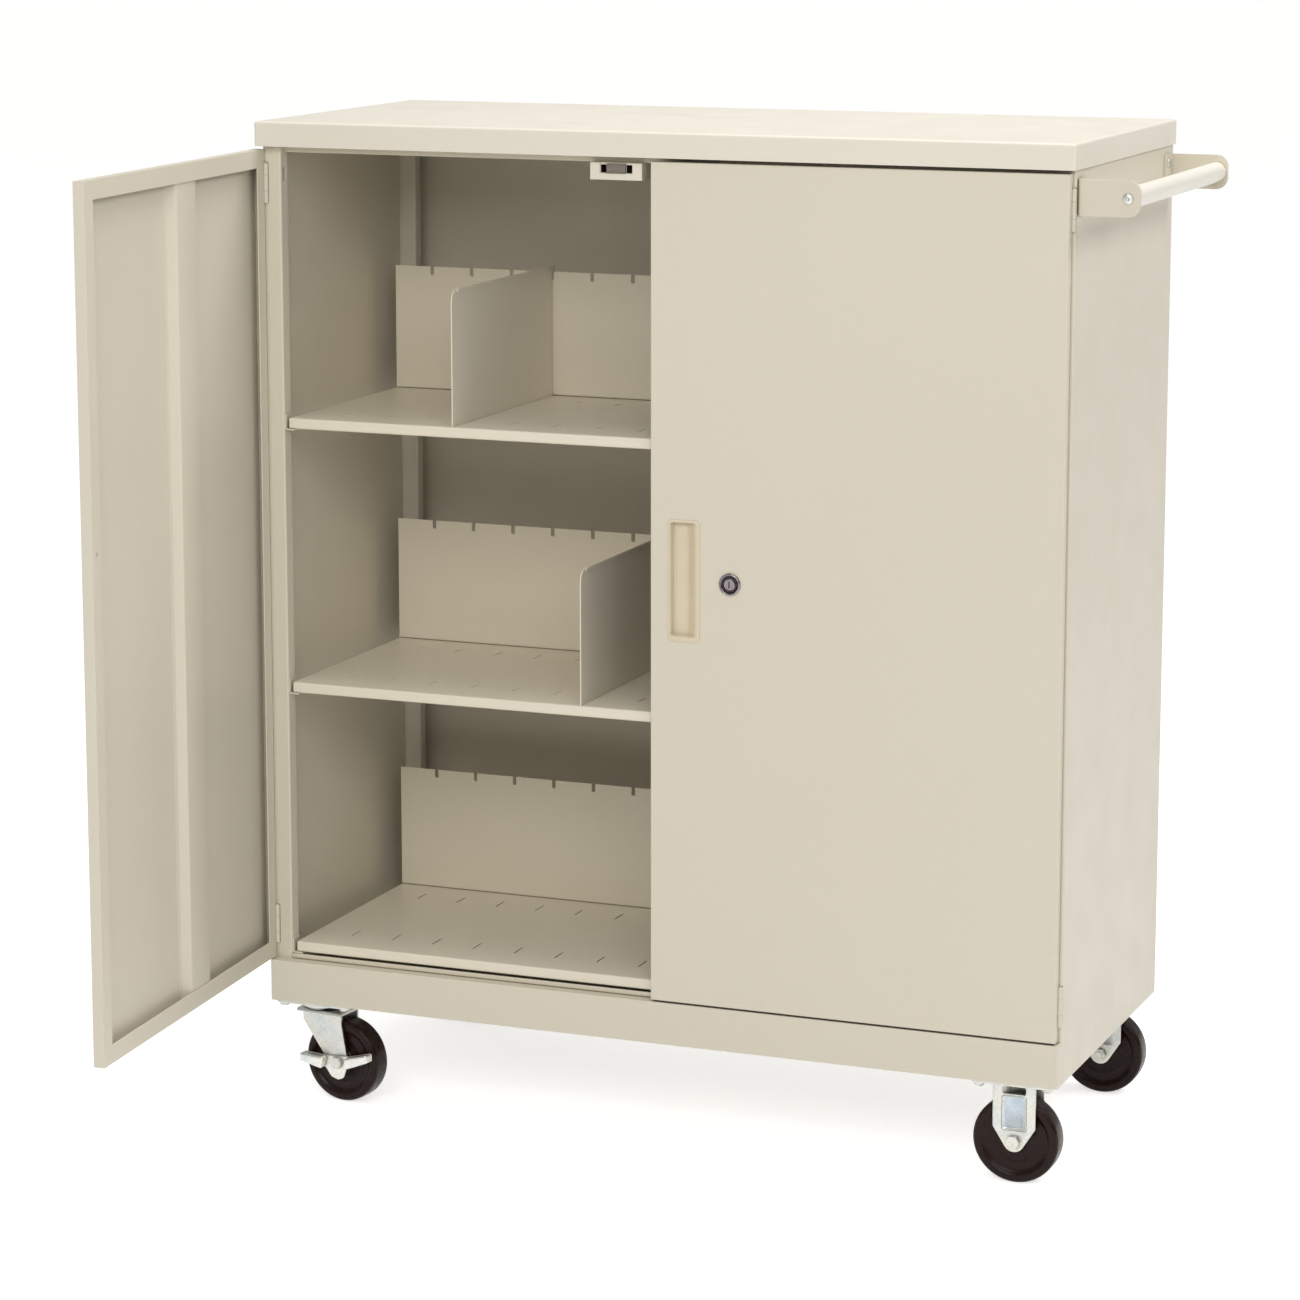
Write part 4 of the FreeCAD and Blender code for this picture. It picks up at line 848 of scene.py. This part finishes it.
# From the bead down into the groove and to the bore, as (y, radius) with the door's face at 0
GROOVE_PROFILE = (
    (-0.0016, 0.0091), (-0.0009, 0.0083), (-0.0009, 0.0074), (-0.0012, 0.0070), (-0.0012, LOCK_BORE),
)


def lock_bezel():
    low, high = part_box("lock_housing")
    centre = (low + high) / 2
    radius = (high.x - low.x) / 2
    door_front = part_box("right_door_pan")[0].y
    proud = door_front - low.y
    reach = high.y - door_front
    profile = [(0.0, radius)] + arc(-proud + LOCK_BEAD, radius - LOCK_BEAD, LOCK_BEAD, 90, 215, 9)
    profile += GROOVE_PROFILE
    profile += [(reach, LOCK_BORE), (reach, LOCK_BARREL - LOCK_CHAMFER)]
    profile += [(reach - LOCK_CHAMFER, LOCK_BARREL), (0.0, LOCK_BARREL)]
    mesh = bmesh.new()
    turned(mesh, profile)
    bezel = finished("lock_bezel", mesh)
    bezel.location = (centre.x, door_front, centre.z)
    stand_in(bezel, "lock_housing", "lock_bezel")


lock_bezel()


# Magnetic catches: white housings with two pockets and a magnet between steel plates

CATCH_RECESS = 0.0020
CATCH_ARM = 0.0112
CATCH_FOOT = 0.0070
POCKET_OFFSET = 0.01485
POCKET_HALF = 0.0032
POCKET_TOP = 0.0024
POCKET_BOTTOM = 0.0108
POCKET_DEPTH = 0.0140
MAGNET_HALF = 0.0110
MAGNET_TOP = 0.0012
MAGNET_PLATE = 0.0014
MAGNET_SET_BACK = 0.0008
MAGNET_DEPTH = 0.0130
CATCH_EDGE = 0.0005
MAGNET_EDGE = 0.0003
MARGIN = 0.0001


def catch_housing(mesh, low, high):
    middle = (low.x + high.x) / 2
    inner = POCKET_OFFSET - POCKET_HALF
    outer = POCKET_OFFSET + POCKET_HALF
    xs = [low.x, low.x + CATCH_ARM]
    xs += [middle + side for side in (-outer, -inner, -MAGNET_HALF, MAGNET_HALF, inner, outer)]
    xs += [high.x - CATCH_ARM, high.x]
    ys = [low.y, low.y + CATCH_RECESS, low.y + MAGNET_DEPTH, low.y + POCKET_DEPTH, high.y]
    zs = [low.z, low.z + CATCH_FOOT, high.z - POCKET_BOTTOM, high.z - POCKET_TOP]
    zs += [high.z - MAGNET_TOP, high.z]

    def solid(i, j, k):
        """All but the recess between the arms, the two pockets and the magnet's hole."""
        between = 1 <= i <= 7
        if j == 0:
            return not between or k == 0
        pocket = i in (2, 6) and k == 2
        magnet = i == 4 and k in (1, 2, 3)
        return not (pocket and j < 3 or magnet and j < 2)

    carved(mesh, xs, ys, zs, solid)
    for face in mesh.faces:
        spot = face.calc_center_median()
        beside = abs(abs(spot.x - middle) - POCKET_OFFSET)
        within = beside < POCKET_HALF + MARGIN and zs[2] - MARGIN < spot.z < zs[3] + MARGIN
        if within and ys[1] + MARGIN < spot.y < ys[4] - MARGIN:
            # Pocket walls and floors take the second material, a painted shade
            face.material_index = 1


def catch_magnet(mesh, housing_low, housing_high, front):
    middle = (housing_low.x + housing_high.x) / 2
    low_z = housing_low.z + CATCH_FOOT
    high_z = housing_high.z - MAGNET_TOP
    xs = [middle - MAGNET_HALF, middle + MAGNET_HALF]
    ys = [front, front + MAGNET_SET_BACK, housing_low.y + MAGNET_DEPTH]
    zs = [low_z, low_z + MAGNET_PLATE, high_z - MAGNET_PLATE, high_z]
    carved(mesh, xs, ys, zs, lambda i, j, k: j == 1 or k != 1)


def catches():
    housing_boxes = islands(nodes["catch_housings"])
    mesh = bmesh.new()
    for low, high in housing_boxes:
        catch_housing(mesh, low, high)
    bodies = softened(finished("catch_bodies", mesh), CATCH_EDGE, 3)
    stand_in(bodies, "catch_housings")
    # Second material: the painted shade inside the pockets
    bodies.data.materials.append(materials["pocket"])
    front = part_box("catch_magnets")[0].y
    mesh = bmesh.new()
    for low, high in housing_boxes:
        catch_magnet(mesh, low, high, front)
    stand_in(softened(finished("catch_pole_plates", mesh), MAGNET_EDGE), "catch_magnets")


catches()


# Head: the ceiling tray, whose front wall stands behind the stiles' fold

HEAD_SET_BACK = 0.0105
HEAD_SHEET = 0.0012
HEAD_EDGE = 0.0004


def head_tray():
    low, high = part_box("head_frame")
    xs = [low.x, low.x + HEAD_SHEET, high.x - HEAD_SHEET, high.x]
    ys = [low.y + HEAD_SET_BACK, low.y + HEAD_SET_BACK + HEAD_SHEET, high.y - HEAD_SHEET, high.y]
    zs = [low.z, low.z + HEAD_SHEET, high.z]
    mesh = bmesh.new()
    carved(mesh, xs, ys, zs, lambda i, j, k: k == 0 or i != 1 or j != 1)
    stand_in(softened(finished("head_tray", mesh), HEAD_EDGE), "head_frame")


head_tray()


# Left door stiffener: a pressed hat with sloping walls and thin feet

CROWN_HALF = 0.0235
WALL_RUN = 0.0080
WALL_STEPS = 14
FOOT_HEIGHT = 0.0006
FOOT_EDGE = 0.0004
STIFFENER_SHEET = 0.0012
OPEN_ANGLE = math.radians(86)


def stiffener():
    node = nodes["left_door_stiffener"]
    along = Vector((math.cos(OPEN_ANGLE), -math.sin(OPEN_ANGLE), 0))
    inward = Vector((math.sin(OPEN_ANGLE), math.cos(OPEN_ANGLE), 0))
    reaches = [vert.co.dot(along) for vert in node.data.vertices]
    depths = [vert.co.dot(inward) for vert in node.data.vertices]
    low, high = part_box("left_door_stiffener")
    centre = (min(reaches) + max(reaches)) / 2
    half = (max(reaches) - min(reaches)) / 2
    skin = min(depths)
    crown = max(depths) - skin
    right = []
    for step in range(WALL_STEPS + 1):
        fall = 1 - eased(step / WALL_STEPS)
        right.append((CROWN_HALF + WALL_RUN * step / WALL_STEPS, FOOT_HEIGHT + (crown - FOOT_HEIGHT) * fall))
    right += [(half - FOOT_EDGE, FOOT_HEIGHT), (half, FOOT_HEIGHT / 2), (half, 0.0)]
    outer = [(-u, h) for u, h in right[::-1]] + right
    inner = [(u, max(0.0, h - STIFFENER_SHEET)) for u, h in outer[2:-2]]
    section = outer + inner[::-1]
    mesh = bmesh.new()
    ends = []
    for z in (low.z, high.z):
        level = Vector((0, 0, z))
        dark_reflection_spots = [along * (centre + u) + inward * (skin + h) + level for u, h in section]
        ends.append([mesh.verts.new(spot) for spot in dark_reflection_spots])
    bridged(mesh, ends[0], ends[1])
    mesh.faces.new(ends[0][::-1])
    mesh.faces.new(ends[1])
    stand_in(finished("stiffener_hat", mesh), "left_door_stiffener")


stiffener()


# Handle screws: domed heads with a hexagon socket

SCREW_HEAD = 0.0055
SCREW_HEIGHT = 0.0026
SCREW_SHANK = 0.0030
SOCKET_HALF = 0.0020
SOCKET_DEPTH = 0.0016
SOCKET_POINT = 0.0006
SOCKET_CHAMFER = 0.0002
DOME_SHARE = 0.75
DOME_ANGLES = (32, 42, 52, 62, 72, 82, 90)
ON_AXIS = 0.0001
HANDLE_MIDDLE_Y = 0.2


def screw_profile(length):
    """Screw along Y: the head's top is at 0 and the shank runs to the length."""
    dome = []
    for angle in DOME_ANGLES:
        fall = 1 - math.cos(math.radians(angle))
        dome.append((SCREW_HEIGHT * fall * DOME_SHARE, SCREW_HEAD * math.sin(math.radians(angle))))
    rim = dome[0][0]
    socket = [(SOCKET_DEPTH + SOCKET_POINT, ON_AXIS), (SOCKET_DEPTH, SOCKET_HALF * 0.94, 6),
              (rim + SOCKET_CHAMFER, SOCKET_HALF, 6), (rim, SOCKET_HALF * 1.12)]
    shank = [(SCREW_HEIGHT, SCREW_HEAD), (SCREW_HEIGHT, SCREW_SHANK), (length, SCREW_SHANK),
             (length, ON_AXIS)]
    return socket + dome + shank


def handle_screws():
    mesh = bmesh.new()
    for low, high in islands(nodes["handle_screws"]):
        size = high - low
        centre = (low + high) / 2
        front = centre.y < HANDLE_MIDDLE_Y
        if size.y > size.x:
            direction = Vector((0, 1, 0)) if front else Vector((0, -1, 0))
            top = Vector((centre.x, low.y if front else high.y, centre.z))
            length = size.y
        else:
            direction = Vector((-1, 0, 0))
            top = Vector((high.x, centre.y, centre.z))
            length = size.x
        place = Matrix.Translation(top) @ direction.to_track_quat("Y", "Z").to_matrix().to_4x4()
        turned(mesh, screw_profile(length), place, 48)
    stand_in(finished("handle_button_screws", mesh), "handle_screws")


handle_screws()


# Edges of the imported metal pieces, rounded as pressed and cast parts are

EDGE_WIDTHS = {
    "front_left_fork": 0.0007,
    "rear_left_fork": 0.0007,
    "front_left_plate": 0.0006,
    "rear_left_plate": 0.0006,
    "fixed_caster_plates": 0.0006,
    "front_left_axle": 0.0006,
    "rear_left_axle": 0.0006,
    "fixed_caster_axles": 0.0006,
}

for name, width in EDGE_WIDTHS.items():
    softened(nodes[name], width, 3)


# Floor, light and camera

FLOOR_HALF = 60.0
FLOOR_GREY = (0.82, 0.82, 0.82, 1.0)
FLOOR_LIFT = 0.66
WORLD_STRENGTH = 0.42
WORLD_COLOUR = (1.0, 0.985, 0.96, 1.0)
PHOTO_PIXELS = 1300
FOCAL_PIXELS = 4074
SENSOR = 36.0


def lamp(name, place, aim, size, power, colour):
    data = bpy.data.lights.new(name, "AREA")
    data.shape = "RECTANGLE"
    data.size, data.size_y = size
    data.energy = power
    data.color = colour
    light = bpy.data.objects.new(name, data)
    bpy.context.scene.collection.objects.link(light)
    light.location = place
    light.rotation_mode = "QUATERNION"
    light.rotation_quaternion = (Vector(aim) - Vector(place)).to_track_quat("-Z", "Y")


def floor():
    """Pale floor that shows white to the camera and in gloss, and keeps the object's shadow."""
    mesh = bmesh.new()
    bmesh.ops.create_grid(mesh, x_segments=8, y_segments=8, size=FLOOR_HALF)
    data = bpy.data.meshes.new("floor")
    mesh.to_mesh(data)
    mesh.free()
    piece = bpy.data.objects.new("floor", data)
    bpy.context.scene.collection.objects.link(piece)
    material = bpy.data.materials.new("floor")
    material.use_nodes = True
    tree = material.node_tree
    tree.nodes.clear()
    output = tree.nodes.new("ShaderNodeOutputMaterial")
    matt = tree.nodes.new("ShaderNodeBsdfDiffuse")
    matt.inputs["Color"].default_value = FLOOR_GREY
    glow = tree.nodes.new("ShaderNodeEmission")
    path = tree.nodes.new("ShaderNodeLightPath")
    seen = tree.nodes.new("ShaderNodeMath")
    seen.operation = "MAXIMUM"
    lift = tree.nodes.new("ShaderNodeMath")
    lift.operation = "MULTIPLY"
    lift.inputs[1].default_value = FLOOR_LIFT
    both = tree.nodes.new("ShaderNodeAddShader")
    tree.links.new(path.outputs["Is Camera Ray"], seen.inputs[0])
    tree.links.new(path.outputs["Is Glossy Ray"], seen.inputs[1])
    tree.links.new(seen.outputs[0], lift.inputs[0])
    tree.links.new(lift.outputs[0], glow.inputs["Strength"])
    tree.links.new(matt.outputs[0], both.inputs[0])
    tree.links.new(glow.outputs[0], both.inputs[1])
    tree.links.new(both.outputs[0], output.inputs["Surface"])
    piece.data.materials.append(material)


def surroundings(strength, colour):
    """Even light from all round, white where the camera sees it."""
    world = bpy.data.worlds.new("surroundings")
    bpy.context.scene.world = world
    world.use_nodes = True
    tree = world.node_tree
    tree.nodes.clear()
    output = tree.nodes.new("ShaderNodeOutputWorld")
    light = tree.nodes.new("ShaderNodeBackground")
    light.inputs["Color"].default_value = colour
    light.inputs["Strength"].default_value = strength
    white = tree.nodes.new("ShaderNodeBackground")
    white.inputs["Color"].default_value = WHITE
    path = tree.nodes.new("ShaderNodeLightPath")
    mix = tree.nodes.new("ShaderNodeMixShader")
    tree.links.new(path.outputs["Is Camera Ray"], mix.inputs[0])
    tree.links.new(light.outputs[0], mix.inputs[1])
    tree.links.new(white.outputs[0], mix.inputs[2])
    tree.links.new(mix.outputs[0], output.inputs["Surface"])


def camera(place, yaw, pitch, lens, shift):
    data = bpy.data.cameras.new("camera")
    data.sensor_width = SENSOR
    data.lens = lens
    data.shift_y = shift
    data.clip_end = 200.0
    view = bpy.data.objects.new("camera", data)
    bpy.context.scene.collection.objects.link(view)
    view.location = place
    turn = math.radians(yaw)
    fall = math.radians(pitch)
    level = math.cos(fall)
    ahead = Vector((-math.sin(turn) * level, math.cos(turn) * level, -math.sin(fall)))
    view.rotation_mode = "QUATERNION"
    view.rotation_quaternion = ahead.to_track_quat("-Z", "Y")
    bpy.context.scene.camera = view


floor()
surroundings(WORLD_STRENGTH, WORLD_COLOUR)
lamp("front", place=(0.3, -3.8, 2.7), aim=(0.0, 0.1, 0.7), size=(1.8, 1.8), power=53.0,
     colour=(1.0, 0.99, 0.97))
lamp("key", place=(1.9, -3.2, 2.4), aim=(0.0, 0.1, 0.7), size=(1.6, 1.6), power=24.0,
     colour=(1.0, 0.99, 0.97))
lamp("side", place=(3.0, 0.7, 2.95), aim=(0.3, 0.1, 0.85), size=(1.0, 1.0), power=34.0,
     colour=(1.0, 0.975, 0.985))
lamp("top", place=(0.2, 0.4, 3.6), aim=(0.0, 0.2, 0.6), size=(2.0, 2.0), power=50.0,
     colour=(0.985, 0.99, 1.0))
camera(place=(1.576, -4.020, 1.423), yaw=21.65, pitch=9.79, lens=FOCAL_PIXELS / PHOTO_PIXELS * SENSOR,
       shift=-0.08)
bpy.context.scene.view_settings.view_transform = "Standard"
